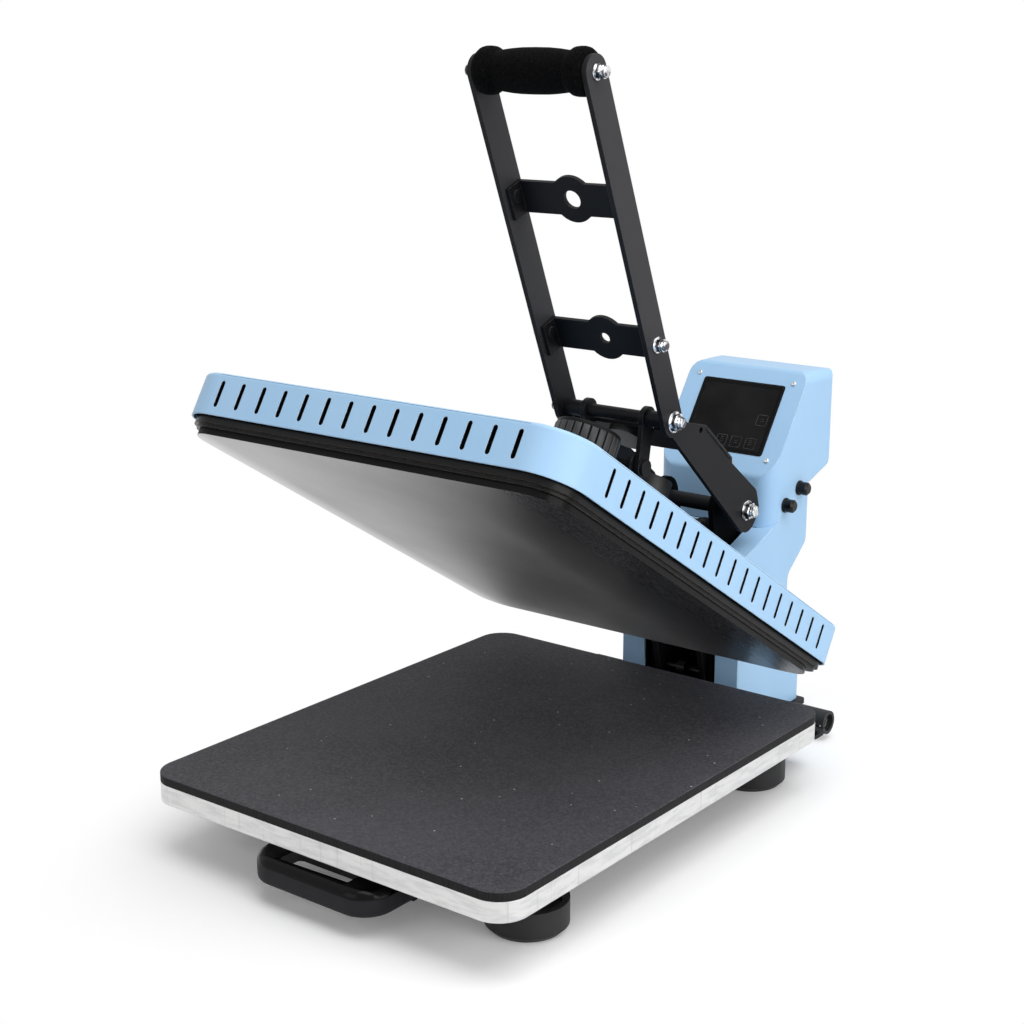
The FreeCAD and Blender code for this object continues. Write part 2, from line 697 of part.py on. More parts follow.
def strut_bracket():
    """Clevis on the base plate that carries the lower end of the gas strut."""
    inner = STRUT_EYE_WIDTH / 2 + SIDE_GAP
    ear = fuse([
        x_rod(8.5, strut_anchor, inner, inner + 4),
        box(inner, inner + 4, STRUT_ANCHOR_Y - 8.5, STRUT_ANCHOR_Y + 8.5, base_plate_top, STRUT_ANCHOR_Z),
    ])
    ear = ear.cut(x_rod(STRUT_PIN_RADIUS, strut_anchor, 0, inner + 5))
    pin = x_rod(STRUT_PIN_RADIUS, strut_anchor, -inner - 4, inner + 4)
    return Part.Compound([ear, ear.mirror(Vector(0, 0, 0), Vector(1, 0, 0)), pin])


def stabiliser_tube():
    reach = STABILISER_HALF_LENGTH - 6
    centre = (STABILISER_Y, STABILISER_Z)
    return both_sides(x_tube(STABILISER_RADIUS, STABILISER_BORE, centre, COLUMN_HALF_WIDTH, reach))


def stabiliser_shoes():
    """Split rubber end shoe: a bored barrel over a tongue that rests on the bench."""
    inner = STABILISER_HALF_LENGTH - STABILISER_SHOE_LENGTH
    centre = (STABILISER_Y, STABILISER_Z)
    barrel = x_tube(STABILISER_SHOE_RADIUS, STABILISER_RADIUS + PIN_GAP, centre,
                    inner, STABILISER_HALF_LENGTH)
    web = box(inner, STABILISER_HALF_LENGTH - 16, STABILISER_Y - 7, STABILISER_Y + 7, 3,
              STABILISER_Z - STABILISER_RADIUS - 1)
    tongue = x_plate([
        (STABILISER_Y - 11, 0, 2), (STABILISER_Y + 11, 0, 2),
        (STABILISER_Y + 8, 5, 2), (STABILISER_Y - 8, 5, 2),
    ], inner, STABILISER_HALF_LENGTH - 10)
    split = box(STABILISER_HALF_LENGTH - STABILISER_SPLIT_LENGTH, STABILISER_HALF_LENGTH + 1,
                STABILISER_Y - STABILISER_SHOE_RADIUS - 1, STABILISER_Y,
                STABILISER_Z - STABILISER_SPLIT, STABILISER_Z)
    return both_sides(fuse([barrel, web, tongue]).cut(split))


# Control box
def panel_point(along, out):
    """Point (y, z) on the sloping front panel, up from its lower crease and out from its face."""
    lean = math.radians(BOX_PANEL_ANGLE)
    return (BOX_FRONT_Y + along * math.sin(lean) - out * math.cos(lean),
            BOX_CREASE_Z + along * math.cos(lean) + out * math.sin(lean))


def on_panel(shape):
    """Place what was drawn lying on the XY plane, Y up the panel and Z out of it."""
    moved = shape.copy()
    moved.rotate(Vector(0, 0, 0), Vector(1, 0, 0), 90.0 - BOX_PANEL_ANGLE)
    moved.translate(Vector(0, BOX_FRONT_Y, BOX_CREASE_Z))
    return moved


def screen_slab(z0, z1):
    middle = PANEL_SCREW_LOW + PANEL_SCREW_SPAN / 2
    half = SCREEN_HEIGHT / 2
    return on_panel(z_slab(SCREEN_WIDTH / 2, middle - half, middle + half, z0, z1, 3, 3))


def control_box():
    """Moulded box: its side outline, cut to the rounded plan and to the rounded top."""
    shoulder = pad_top + COLUMN_SHOULDER_RISE
    front_low = shoulder + (BOX_FRONT_Y - COLUMN_FRONT_Y) * COLUMN_SLOPE
    rear_low = shoulder + (COLUMN_TOP_Y - COLUMN_FRONT_Y) * COLUMN_SLOPE
    rise = BOX_TOP_Z - BOX_CREASE_Z
    panel_top_y = BOX_FRONT_Y + rise * math.tan(math.radians(BOX_PANEL_ANGLE))
    side = x_plate([
        (BOX_FRONT_Y, front_low, 0), (COLUMN_TOP_Y, rear_low, 0), (COLUMN_TOP_Y, BOX_HEEL_Z, 2),
        (BOX_UNDERCUT_Y, BOX_UNDERCUT_Z, 8), (BOX_REAR_Y, BOX_REAR_LOW_Z, 6),
        (BOX_REAR_Y, BOX_TOP_Z - BOX_TOP_FALL, BOX_REAR_ROUND),
        (panel_top_y, BOX_TOP_Z, 8), (BOX_FRONT_Y, BOX_CREASE_Z, 10),
    ], -COLUMN_HALF_WIDTH, COLUMN_HALF_WIDTH)
    plan = z_slab(COLUMN_HALF_WIDTH, BOX_FRONT_Y, BOX_REAR_Y, front_low - 10, BOX_TOP_Z + 1,
                  BOX_FRONT_ROUND, BOX_REAR_ROUND)
    low = front_low - 10
    face = BOX_FRONT_Y - 1
    points = [Vector(-COLUMN_HALF_WIDTH, face, low), Vector(COLUMN_HALF_WIDTH, face, low),
              Vector(COLUMN_HALF_WIDTH, face, BOX_TOP_Z), Vector(-COLUMN_HALF_WIDTH, face, BOX_TOP_Z)]
    arch = Part.Face(rounded_wire(points, [0, 0, BOX_TOP_ROUND, BOX_TOP_ROUND]))
    arch = arch.extrude(Vector(0, BOX_REAR_Y - BOX_FRONT_Y + 2, 0))
    shell = side.common(plan).common(arch)
    shell = shell.cut(screen_slab(-(SCREEN_THICKNESS - SCREEN_PROUD), 5))
    for x, width, height, depth, gap in (
            (SOCKET_X, INLET_WIDTH, INLET_HEIGHT, INLET_DEPTH, 0),
            (ROCKER_X, ROCKER_WIDTH, ROCKER_HEIGHT, ROCKER_DEPTH, SIDE_GAP)):
        half_w = width / 2 + gap
        half_h = height / 2 + gap
        shell = shell.cut(box(x - half_w, x + half_w, BOX_REAR_Y - depth, BOX_REAR_Y + 1,
                              INLET_Z - half_h, INLET_Z + half_h))
    return shell


def touch_screen():
    return screen_slab(-(SCREEN_THICKNESS - SCREEN_PROUD), SCREEN_PROUD)


def panel_screws():
    solids = []
    for along in (PANEL_SCREW_LOW, PANEL_SCREW_LOW + PANEL_SCREW_SPAN):
        for side in (-1, 1):
            y, z = panel_point(along, 0)
            top_y, top_z = panel_point(along, 1.5)
            solids.append(rod(PANEL_SCREW_RADIUS, (side * PANEL_SCREW_X, y, z),
                              (side * PANEL_SCREW_X, top_y, top_z)))
    return Part.Compound(solids)


def fuse_holders():
    solids = []
    for y, z in FUSE_PLACES:
        profile = [(0, 0), (FUSE_RADIUS + 1, 0), (FUSE_RADIUS + 1, 1.5), (FUSE_RADIUS, 1.5),
                   (FUSE_RADIUS, FUSE_LENGTH - 2), (FUSE_RADIUS - 2, FUSE_LENGTH), (0, FUSE_LENGTH)]
        solids.append(revolved(profile, (COLUMN_HALF_WIDTH, y, z), (COLUMN_HALF_WIDTH + 1, y, z)))
    return Part.Compound(solids)


def power_inlet():
    """Appliance inlet with three blades, set in the rear of the box."""
    half_w = INLET_WIDTH / 2
    half_h = INLET_HEIGHT / 2
    body = box(SOCKET_X - half_w, SOCKET_X + half_w, BOX_REAR_Y - INLET_DEPTH, BOX_REAR_Y,
               INLET_Z - half_h, INLET_Z + half_h)
    flange = box(SOCKET_X - half_w - 6, SOCKET_X + half_w + 6, BOX_REAR_Y, BOX_REAR_Y + INLET_FLANGE,
                 INLET_Z - half_h - 3, INLET_Z + half_h + 3)
    mouth = box(SOCKET_X - half_w + 3, SOCKET_X + half_w - 3, BOX_REAR_Y - 11, BOX_REAR_Y + 3,
                INLET_Z - half_h + 3, INLET_Z + half_h - 3)
    shell = fuse([body, flange]).cut(mouth)
    blades = []
    for dx, dz in ((-6, -3), (6, -3), (0, 3)):
        blades.append(box(SOCKET_X + dx - 1, SOCKET_X + dx + 1, BOX_REAR_Y - 11, BOX_REAR_Y - 2,
                          INLET_Z + dz - 2, INLET_Z + dz + 2))
    return fuse([shell] + blades)


def rocker_switch():
    """Rocker, tilted to its off side, on a cross pin inside the box wall."""
    half_w = ROCKER_WIDTH / 2 - 0.6
    half_h = ROCKER_HEIGHT / 2 - 1.2
    rocker = x_plate([
        (-6, -4, 2), (3, -half_h, 1), (5, -half_h, 1), (2, 0, 20), (5, half_h, 1), (3, half_h, 1), (-6, 4, 2),
    ], -half_w, half_w)
    rocker.rotate(Vector(0, 0, 0), Vector(1, 0, 0), ROCKER_SWING / 2)
    rocker.translate(Vector(ROCKER_X, BOX_REAR_Y - 3, INLET_Z))
    pin_reach = ROCKER_WIDTH / 2 + SIDE_GAP
    pin = x_rod(1.5, (BOX_REAR_Y - 3, INLET_Z), ROCKER_X - pin_reach, ROCKER_X + pin_reach)
    return rocker.fuse(pin)


# Drawer
def aluminium_plate():
    return z_slab(PLATEN_WIDTH / 2, -PLATEN_LENGTH / 2, PLATEN_LENGTH / 2, plate_bottom, pad_bottom,
                  PLATE_CORNER, PLATE_CORNER)


def silicone_pad():
    return z_slab(PLATEN_WIDTH / 2, -PLATEN_LENGTH / 2, PLATEN_LENGTH / 2, pad_bottom, pad_top,
                  PLATE_CORNER, PLATE_CORNER)


rail_inner_x = RAIL_CENTRE_X - RAIL_WIDTH / 2
slide_z = (rail_bottom + rail_top) / 2


def slide_rails_fixed():
    """Channel on the inner face of each base rail."""
    x0 = rail_inner_x - SLIDE_DEPTH + 2
    outer = box(x0, rail_inner_x, SLIDE_FRONT_Y, SLIDE_REAR_Y,
                slide_z - SLIDE_HEIGHT / 2, slide_z + SLIDE_HEIGHT / 2)
    inner = box(x0 - 1, rail_inner_x - SLIDE_WALL, SLIDE_FRONT_Y - 1, SLIDE_REAR_Y + 1,
                slide_z - SLIDE_HEIGHT / 2 + SLIDE_WALL, slide_z + SLIDE_HEIGHT / 2 - SLIDE_WALL)
    return both_sides(outer.cut(inner))


def slide_rails_moving():
    """Runner inside each fixed channel, carried by the carriage."""
    x0 = rail_inner_x - SLIDE_DEPTH
    half = SLIDE_HEIGHT / 2 - SLIDE_WALL - 0.3
    runner = box(x0, rail_inner_x - SLIDE_WALL - 0.3, CARRIAGE_FRONT_Y + 15, CARRIAGE_REAR_Y,
                 slide_z - half, slide_z + half)
    return both_sides(runner)


def carriage():
    """Two side plates and three cross bars under the aluminium plate."""
    x1 = rail_inner_x - SLIDE_DEPTH
    x0 = x1 - CARRIAGE_WALL
    side = box(x0, x1, CARRIAGE_FRONT_Y, CARRIAGE_REAR_Y, slide_z - SLIDE_HEIGHT / 2, plate_bottom)
    mirrored = side.mirror(Vector(0, 0, 0), Vector(1, 0, 0))
    bars = []
    for y in (CARRIAGE_FRONT_Y, -CARRIAGE_BAR_DEPTH / 2, CARRIAGE_REAR_Y - CARRIAGE_BAR_DEPTH):
        bars.append(box(-x0, x0, y, y + CARRIAGE_BAR_DEPTH, plate_bottom - CARRIAGE_BAR_HEIGHT, plate_bottom))
    apron = box(-HANDLE_LOOP_HALF_WIDTH, HANDLE_LOOP_HALF_WIDTH, CARRIAGE_FRONT_Y - APRON_THICKNESS,
                CARRIAGE_FRONT_Y, HANDLE_LOOP_Z, plate_bottom)
    return fuse([side, mirrored, apron] + bars)


def pull_handle():
    """Moulded loop with a finger slot, on the front of the carriage."""
    rear = CARRIAGE_FRONT_Y - APRON_THICKNESS
    top = HANDLE_LOOP_Z + HANDLE_LOOP_THICKNESS
    loop = z_slab(HANDLE_LOOP_HALF_WIDTH, HANDLE_LOOP_FRONT_Y, rear, HANDLE_LOOP_Z, top,
                  HANDLE_LOOP_CORNER, 0)
    edges = [edge for edge in loop.Edges if edge.BoundBox.ZMin > top - 0.1 and edge.BoundBox.YMin < rear - 1]
    loop = loop.makeFillet(HANDLE_LOOP_ROUND, edges)
    inner = HANDLE_LOOP_HALF_WIDTH - HANDLE_LOOP_SIDE
    slot = z_slab(inner, HANDLE_LOOP_FRONT_Y + HANDLE_LOOP_BAR, rear - HANDLE_LOOP_WEB,
                  HANDLE_LOOP_Z - 1, top + 1, FINGER_SLOT_CORNER, FINGER_SLOT_CORNER)
    return loop.cut(slot)


# Upper platen, drawn shut
def cover_block(inset, z0, z1):
    front = COVER_CENTRE_Y - COVER_LENGTH / 2
    rear = COVER_CENTRE_Y + COVER_LENGTH / 2
    return z_slab(COVER_WIDTH / 2 - inset, front + inset, rear - inset, z0, z1,
                  COVER_FRONT_CORNER - inset, COVER_REAR_CORNER - inset)


def cover_slot(across):
    """One upright slot with round ends, drawn about the origin through a wall along Y or X."""
    half = SLOT_LENGTH / 2 - SLOT_WIDTH / 2
    reach = 6.0
    ends = []
    for z in (-half, half):
        if across == "y":
            ends.append(rod(SLOT_WIDTH / 2, (0, -reach, z), (0, reach, z)))
        else:
            ends.append(rod(SLOT_WIDTH / 2, (-reach, 0, z), (reach, 0, z)))
    if across == "y":
        middle = box(-SLOT_WIDTH / 2, SLOT_WIDTH / 2, -reach, reach, -half, half)
    else:
        middle = box(-reach, reach, -SLOT_WIDTH / 2, SLOT_WIDTH / 2, -half, half)
    return fuse([middle] + ends)


def platen_cover():
    """Sheet cover: open below, rounded top edge, slots along the front and both sides."""
    front = COVER_CENTRE_Y - COVER_LENGTH / 2
    outer = cover_block(0, cover_bottom, cover_top)
    top_edges = [edge for edge in outer.Edges if edge.BoundBox.ZMin > cover_top - 0.1]
    outer = outer.makeFillet(COVER_TOP_ROUND, top_edges)
    shell = outer.cut(cover_block(COVER_WALL, cover_bottom - 1, cover_top - COVER_WALL))
    z = cover_top - SLOT_DROP
    cutters = []
    for i in range(FRONT_SLOT_COUNT):
        slot = cover_slot("y")
        slot.translate(Vector((i - (FRONT_SLOT_COUNT - 1) / 2) * FRONT_SLOT_PITCH, front, z))
        cutters.append(slot)
    for i in range(SIDE_SLOT_COUNT):
        for side in (-1, 1):
            slot = cover_slot("x")
            slot.translate(Vector(side * COVER_WIDTH / 2, front + SIDE_SLOT_START + i * SIDE_SLOT_PITCH, z))
            cutters.append(slot)
    shell = shell.cut(Part.Compound(cutters))
    shell = shell.cut(rod(SPINDLE_RADIUS + 1, (0, SPINDLE_Y, cover_top - 10), (0, SPINDLE_Y, cover_top + 1)))
    return opened(shell)


def heat_plate():
    """Cast heating plate: ground working face, and a narrower back that stands up inside the tray."""
    half = HEAT_PLATE_LENGTH / 2
    plate = z_slab(HEAT_PLATE_WIDTH / 2, COVER_CENTRE_Y - half, COVER_CENTRE_Y + half,
                   platen_bottom, tray_bottom, HEAT_PLATE_CORNER, HEAT_PLATE_CORNER)
    back = cover_block(TRAY_FRAME + 2 * SIDE_GAP, tray_bottom, tray_bottom + HEAT_PLATE_BACK)
    return opened(fuse([plate, back]))


def heater_tray():
    """Black steel rim in two steps round the heating plate, inside the lower edge of the cover."""
    upper = cover_block(TRAY_UPPER_INSET, tray_bottom + TRAY_STEP, cover_bottom + TRAY_LIP - TRAY_STEP)
    lower = cover_block(TRAY_LOWER_INSET, tray_bottom, tray_bottom + TRAY_STEP)
    lip = cover_block(COVER_WALL, cover_bottom + TRAY_LIP - TRAY_STEP, cover_bottom + TRAY_LIP)
    well = cover_block(TRAY_FRAME, tray_bottom - 1, cover_bottom + TRAY_LIP - TRAY_STEP)
    return opened(fuse([upper, lower, lip]).cut(well))


blanket_bottom = cover_bottom + TRAY_LIP
backing_bottom = cover_top - COVER_WALL - BACKING_THICKNESS


def insulation_blanket():
    blanket = cover_block(COVER_WALL + 6, blanket_bottom, backing_bottom)
    hole = rod(MOUNT_TUBE_RADIUS, (0, SPINDLE_Y, blanket_bottom - 1), (0, SPINDLE_Y, backing_bottom + 1))
    return opened(blanket.cut(hole))


def backing_plate():
    """Stiff steel plate under the cover top; the press bolts to it."""
    plate = cover_block(COVER_WALL + 6, backing_bottom, backing_bottom + BACKING_THICKNESS)
    hole = rod(SPINDLE_RADIUS + 1, (0, SPINDLE_Y, backing_bottom - 1), (0, SPINDLE_Y, cover_top))
    return opened(plate.cut(hole))


def platen_mount():
    """Flanged tube on the cover that takes the pressure screw."""
    profile = [
        (SPINDLE_RADIUS + PIN_GAP, 0), (MOUNT_RADIUS, 0), (MOUNT_RADIUS, MOUNT_FLANGE),
        (MOUNT_TUBE_RADIUS, MOUNT_FLANGE), (MOUNT_TUBE_RADIUS, MOUNT_TUBE_HEIGHT),
        (SPINDLE_RADIUS + PIN_GAP, MOUNT_TUBE_HEIGHT),
    ]
    return opened(revolved(profile, (0, SPINDLE_Y, cover_top), (0, SPINDLE_Y, cover_top + 1)))


def mount_bolts():
    solids = []
    for i in range(4):
        angle = math.radians(45 + 90 * i)
        x = 22 * math.cos(angle)
        y = SPINDLE_Y + 22 * math.sin(angle)
        z = cover_top + MOUNT_FLANGE
        solids.append(rod(4.5, (x, y, z), (x, y, z + 4)))
    return opened(Part.Compound(solids))


crosshead_bottom = beam_z - BEAM_RADIUS + 2
crosshead_top = beam_z + BEAM_RADIUS - 2


def guide_rod():
    """Fixed to the cover; keeps the platen square as it rises."""
    foot = rod(12, (0, GUIDE_Y, cover_top), (0, GUIDE_Y, cover_top + 4))
    post = rod(GUIDE_RADIUS, (0, GUIDE_Y, cover_top), (0, GUIDE_Y, crosshead_top + 2))
    return opened(fuse([foot, post]))


# Arm, drawn shut
def arm_plates():
    """Two lever plates from the hinge, over the rear of the cover, to the pressure screw."""
    knee = (KNEE_Y, beam_z)
    front = (BEAM_FRONT_Y, beam_z)
    x0 = ARM_HALF_GAP
    x1 = arm_outer
    lever_end = turned(strut_pin, hinge, OPEN_ANGLE)
    plate = fuse([
        tapered_link(hinge, BOSS_RADIUS, knee, BEAM_RADIUS, x0, x1),
        tapered_link(knee, BEAM_RADIUS, front, BEAM_RADIUS - 2, x0, x1),
        tapered_link((LUG_ROOT_Y, beam_z + 2), LUG_ROOT_RADIUS, link_pin_shut, LUG_RADIUS, x0, x1),
        tapered_link(hinge, BOSS_RADIUS, lever_end, LEVER_RADIUS, x0, x1),
    ])
    for centre, radius in (
            (hinge, HINGE_PIN_RADIUS), (lever_end, STRUT_PIN_RADIUS), (link_pin_shut, LINK_BOLT_RADIUS)):
        plate = plate.cut(x_rod(radius + PIN_GAP, centre, x0 - 1, x1 + 1))
    return opened(both_sides(plate))


def crosshead():
    """Block between the arm plates that carries the pressure screw."""
    half = CROSSHEAD_LENGTH / 2
    block = box(-ARM_HALF_GAP, ARM_HALF_GAP, SPINDLE_Y - half, SPINDLE_Y + half,
                crosshead_bottom, crosshead_top)
    bore = rod(SPINDLE_RADIUS + PIN_GAP,
               (0, SPINDLE_Y, crosshead_bottom - 1), (0, SPINDLE_Y, crosshead_top + 1))
    return opened(block.cut(bore))


def guide_block():
    half = GUIDE_BLOCK_LENGTH / 2
    block = box(-ARM_HALF_GAP, ARM_HALF_GAP, GUIDE_Y - half, GUIDE_Y + half,
                crosshead_bottom + 2, crosshead_top - 4)
    bore = rod(GUIDE_RADIUS + PIN_GAP, (0, GUIDE_Y, crosshead_bottom - 1), (0, GUIDE_Y, crosshead_top + 1))
    return opened(block.cut(bore))


def arm_ties():
    """Tie tube between the arm plates at the hinge, and the clamp bar of the conduit."""
    reach = ARM_HALF_GAP
    tube = x_tube(HINGE_PIN_RADIUS + 4, HINGE_PIN_RADIUS + PIN_GAP, hinge, -reach, reach)
    return Part.Compound([opened(tube), conduit_clamp()])


def arm_cross_pins():
    """Cross pins through both arm plates: one for the gas strut, one at the foot of the hook links."""
    return Part.Compound([
        x_rod(STRUT_PIN_RADIUS, strut_pin, -arm_outer, arm_outer),
        x_rod(LINK_BOLT_RADIUS, link_pin, -arm_outer, arm_outer),
    ])


web_centre = (30.0, -6.0)   # middle of the web, along and across the crank


def on_web(shape):
    """Place what was drawn with the web's underside on the XY plane, looking down on it."""
    moved = shape.copy()
    moved.translate(Vector(0, web_centre[0], web_centre[1]))
    return on_band(moved)


def magnet():
    """Holding magnet on the arm, set square to the keeper as it stands when shut."""
    top = -KEEPER_THICKNESS - PRESS_GAP
    shut = on_web(rod(MAGNET_RADIUS, (0, 0, top - MAGNET_HEIGHT), (0, 0, top)))
    shut.rotate(Vector(0, lower_shaft[0], lower_shaft[1]), Vector(1, 0, 0), handle_turn)
    return opened(shut)


def magnet_bracket():
    """Cross plate between the arm plates, under the magnet."""
    low = -KEEPER_THICKNESS - PRESS_GAP - MAGNET_HEIGHT
    plate = box(-ARM_HALF_GAP, ARM_HALF_GAP, -26, 26, low - 4, low)
    shut = on_web(plate)
    shut.rotate(Vector(0, lower_shaft[0], lower_shaft[1]), Vector(1, 0, 0), handle_turn)
    return opened(shut)


# Pressure screw, drawn shut
knob_bottom = crosshead_top + KNOB_NECK


def spindle():
    """Screw shank with a shoulder above the crosshead and a collar below it."""
    lower_end = cover_top + 3
    z0 = lower_end
    profile = [
        (0, z0), (SPINDLE_RADIUS, z0), (SPINDLE_RADIUS, crosshead_bottom - 4.4),
        (SPINDLE_RADIUS + 4, crosshead_bottom - 4.4), (SPINDLE_RADIUS + 4, crosshead_bottom - SIDE_GAP),
        (SPINDLE_RADIUS, crosshead_bottom - SIDE_GAP), (SPINDLE_RADIUS, crosshead_top + SIDE_GAP),
        (SPINDLE_RADIUS + 5, crosshead_top + SIDE_GAP), (SPINDLE_RADIUS + 5, knob_bottom), (0, knob_bottom),
    ]
    heights = [(radius, z - z0) for radius, z in profile]
    return opened(revolved(heights, (0, SPINDLE_Y, z0), (0, SPINDLE_Y, z0 + 1)))


def pressure_knob():
    """Round knob with flat-sided ribs round its rim."""
    top = knob_bottom + KNOB_HEIGHT
    profile = [
        (0, 0), (KNOB_RADIUS - 2, 0), (KNOB_RADIUS, 2), (KNOB_RADIUS, KNOB_HEIGHT - 3),
        (KNOB_RADIUS - 3, KNOB_HEIGHT), (KNOB_RADIUS - 10, KNOB_HEIGHT), (KNOB_RADIUS - 12, KNOB_HEIGHT - 2),
        (0, KNOB_HEIGHT - 2),
    ]
    knob = revolved(profile, (0, SPINDLE_Y, knob_bottom), (0, SPINDLE_Y, top))
    cutters = []
    for i in range(KNOB_RIBS):
        angle = 2 * math.pi * i / KNOB_RIBS
        x = KNOB_RADIUS * math.cos(angle)
        y = SPINDLE_Y + KNOB_RADIUS * math.sin(angle)
        groove = box(-KNOB_GROOVE / 2, KNOB_GROOVE / 2, -KNOB_GROOVE / 2, KNOB_GROOVE / 2,
                     knob_bottom - 1, top - 3)
        groove.rotate(Vector(0, 0, 0), Vector(0, 0, 1), math.degrees(angle))
        groove.translate(Vector(x, y, 0))
        cutters.append(groove)
    return opened(knob.cut(Part.Compound(cutters)))


# Handle
strap_bolt_centre = polar(upper_shaft, STRAP_LOW + STRAP_BOLT_RISE, 90.0 + HANDLE_LEAN)


def handle_side_plates():
    """Side plates: a straight bar up to the grip and a wide crank band down to the lower shaft."""
    x0 = BAR_HALF_GAP
    x1 = bar_outer
    bar = tapered_link(upper_shaft, BAR_RADIUS, grip, BAR_RADIUS, x0, x1)
    tail = CRANK_LENGTH + BAND_TAIL
    band = on_band(x_plate([
        (-9, -BAND_WAIST, 6), (4, -BAND_WAIST, 4), (tail, -BAND_LOW, 20), (tail, 13, 12),
        (tail - 20, BAND_DIP + 3, 10), (BAND_NOTCH + 4, BAND_DIP, 0), (BAND_NOTCH, BAND_HIGH, 0),
        (BAND_SHOULDER, BAND_HIGH, 8), (22, 12, 4), (0, 13, 3),
    ], x0, x1))
    lip = on_band(box(x1 - BAND_LIP, x1, BAND_SHOULDER + 6, BAND_NOTCH - 3,
                      BAND_HIGH - BAND_LIP_THICKNESS, BAND_HIGH))
    plate = fuse([bar, band, lip])
    for centre, radius in (
            (upper_shaft, SHAFT_END_RADIUS), (lower_shaft, LOWER_SHAFT_RADIUS), (grip, SHAFT_END_RADIUS)):
        plate = plate.cut(x_rod(radius + PIN_GAP, centre, x0 - 1, x1 + 1))
    spare = on_band(x_rod(SPARE_HOLE_RADIUS, (SPARE_HOLE_ALONG, SPARE_HOLE_ACROSS), x0 - 1, x1 + 1))
    bolt_hole = x_rod(SHAFT_END_RADIUS + PIN_GAP, strap_bolt_centre, x0 - 1, x1 + 1)
    return both_sides(plate.cut(spare).cut(bolt_hole))


def cross_strap(along, hole_radius):
    """Strap with a round eye in its middle and a tab at each end, folded forward along the bars."""
    half = STRAP_HEIGHT / 2
    inner = BAR_HALF_GAP
    face = box(-inner, inner, STRAP_FACE, STRAP_FACE + STRAP_THICKNESS, along - half, along + half)
    disc = rod(STRAP_DISC_RADIUS, (0, STRAP_FACE, along), (0, STRAP_FACE + STRAP_THICKNESS, along))
    tabs = []
    for side in (-1, 1):
        x0 = min(side * inner, side * (inner - STRAP_THICKNESS))
        tabs.append(box(x0, x0 + STRAP_THICKNESS, STRAP_FACE - STRAP_TAB, STRAP_FACE + STRAP_THICKNESS,
                        along - half, along + half))
    hole = rod(hole_radius, (0, STRAP_FACE - 1, along), (0, STRAP_FACE + STRAP_THICKNESS + 1, along))
    strap = fuse([face, disc] + tabs).cut(hole)
    rise = along + STRAP_BOLT_RISE
    bolt = rod(SHAFT_END_RADIUS + PIN_GAP, (-inner - 1, 0, rise), (inner + 1, 0, rise))
    return on_handle(strap.cut(bolt))


def cross_strap_lower():
    return cross_strap(STRAP_LOW, STRAP_LOW_HOLE)


def cross_strap_upper():
    return cross_strap(STRAP_HIGH, STRAP_HIGH_HOLE)


def strap_bolt():
    """Bolt, washer and nut through the right bar at the lower strap."""
    stack = nut_stack(strap_bolt_centre, bar_outer, SHAFT_END_RADIUS, 7.5)
    stud_end = bar_outer + WASHER_THICKNESS + NUT_THICKNESS + STUD_PROUD
    inner = BAR_HALF_GAP - STRAP_THICKNESS
    head = x_rod(SHAFT_END_RADIUS + 1, strap_bolt_centre, inner - 1.5, inner)
    stud = x_rod(SHAFT_END_RADIUS, strap_bolt_centre, inner, stud_end)
    return fuse([stack, head, stud])


def grip_tube():
    """Steel tube between the bars with a stud at each end."""
    reach = bar_outer + WASHER_THICKNESS + NUT_THICKNESS + STUD_PROUD
    core = x_rod(GRIP_TUBE_RADIUS, grip, -BAR_HALF_GAP, BAR_HALF_GAP)
    return fuse([core, x_rod(SHAFT_END_RADIUS, grip, -reach, reach)])


def foam_grip():
    """Foam sleeve: round collars at the ends, a neck, and a fuller middle."""
    half = BAR_HALF_GAP - 0.3
    collar = GRIP_COLLAR_WIDTH
    step = 5.0
    ring = [
        Vector(-half, 0, GRIP_TUBE_RADIUS), Vector(-half, 0, GRIP_COLLAR_RADIUS - 5),
        Vector(-half + 4, 0, GRIP_COLLAR_RADIUS), Vector(-half + collar - step, 0, GRIP_COLLAR_RADIUS),
        Vector(-half + collar, 0, GRIP_NECK_RADIUS), Vector(half - collar, 0, GRIP_NECK_RADIUS),
        Vector(half - collar + step, 0, GRIP_COLLAR_RADIUS), Vector(half - 4, 0, GRIP_COLLAR_RADIUS),
        Vector(half, 0, GRIP_COLLAR_RADIUS - 5), Vector(half, 0, GRIP_TUBE_RADIUS),
    ]
    edges = []
    for i in range(len(ring)):
        a = ring[i]
        b = ring[(i + 1) % len(ring)]
        if i == 4:
            edges.append(Part.Arc(a, Vector(0, 0, GRIP_BELLY_RADIUS), b).toShape())
        else:
            edges.append(Part.makeLine(a, b))
    sleeve = Part.Face(Part.Wire(edges)).revolve(Vector(0, 0, 0), Vector(1, 0, 0), 360)
    sleeve.translate(Vector(0, grip[0], grip[1]))
    return sleeve


def upper_shaft_rod():
    reach = bar_outer + WASHER_THICKNESS + NUT_THICKNESS + STUD_PROUD
    core = x_rod(UPPER_SHAFT_RADIUS, upper_shaft, -BAR_HALF_GAP, BAR_HALF_GAP)
    return fuse([core, x_rod(SHAFT_END_RADIUS, upper_shaft, -reach, reach)])


def upper_shaft_collars():
    """Sleeves that keep the hook links apart on the upper shaft."""
    side = x_tube(UPPER_SHAFT_RADIUS + 1.5, UPPER_SHAFT_RADIUS, upper_shaft,
                  link_outer + SIDE_GAP, BAR_HALF_GAP)
    return both_sides(side)


def handle_nuts():
    """Nuts at both ends of the upper shaft and the grip, and the bolts of the lower strap."""
    stacks = [strap_bolt()]
    for centre, size in ((upper_shaft, 9.5), (grip, 7.5)):
        stacks.append(nut_stack(centre, bar_outer, SHAFT_END_RADIUS, size))
    mirrored = [stack.mirror(Vector(0, 0, 0), Vector(1, 0, 0)) for stack in stacks]
    return Part.Compound(stacks + mirrored)


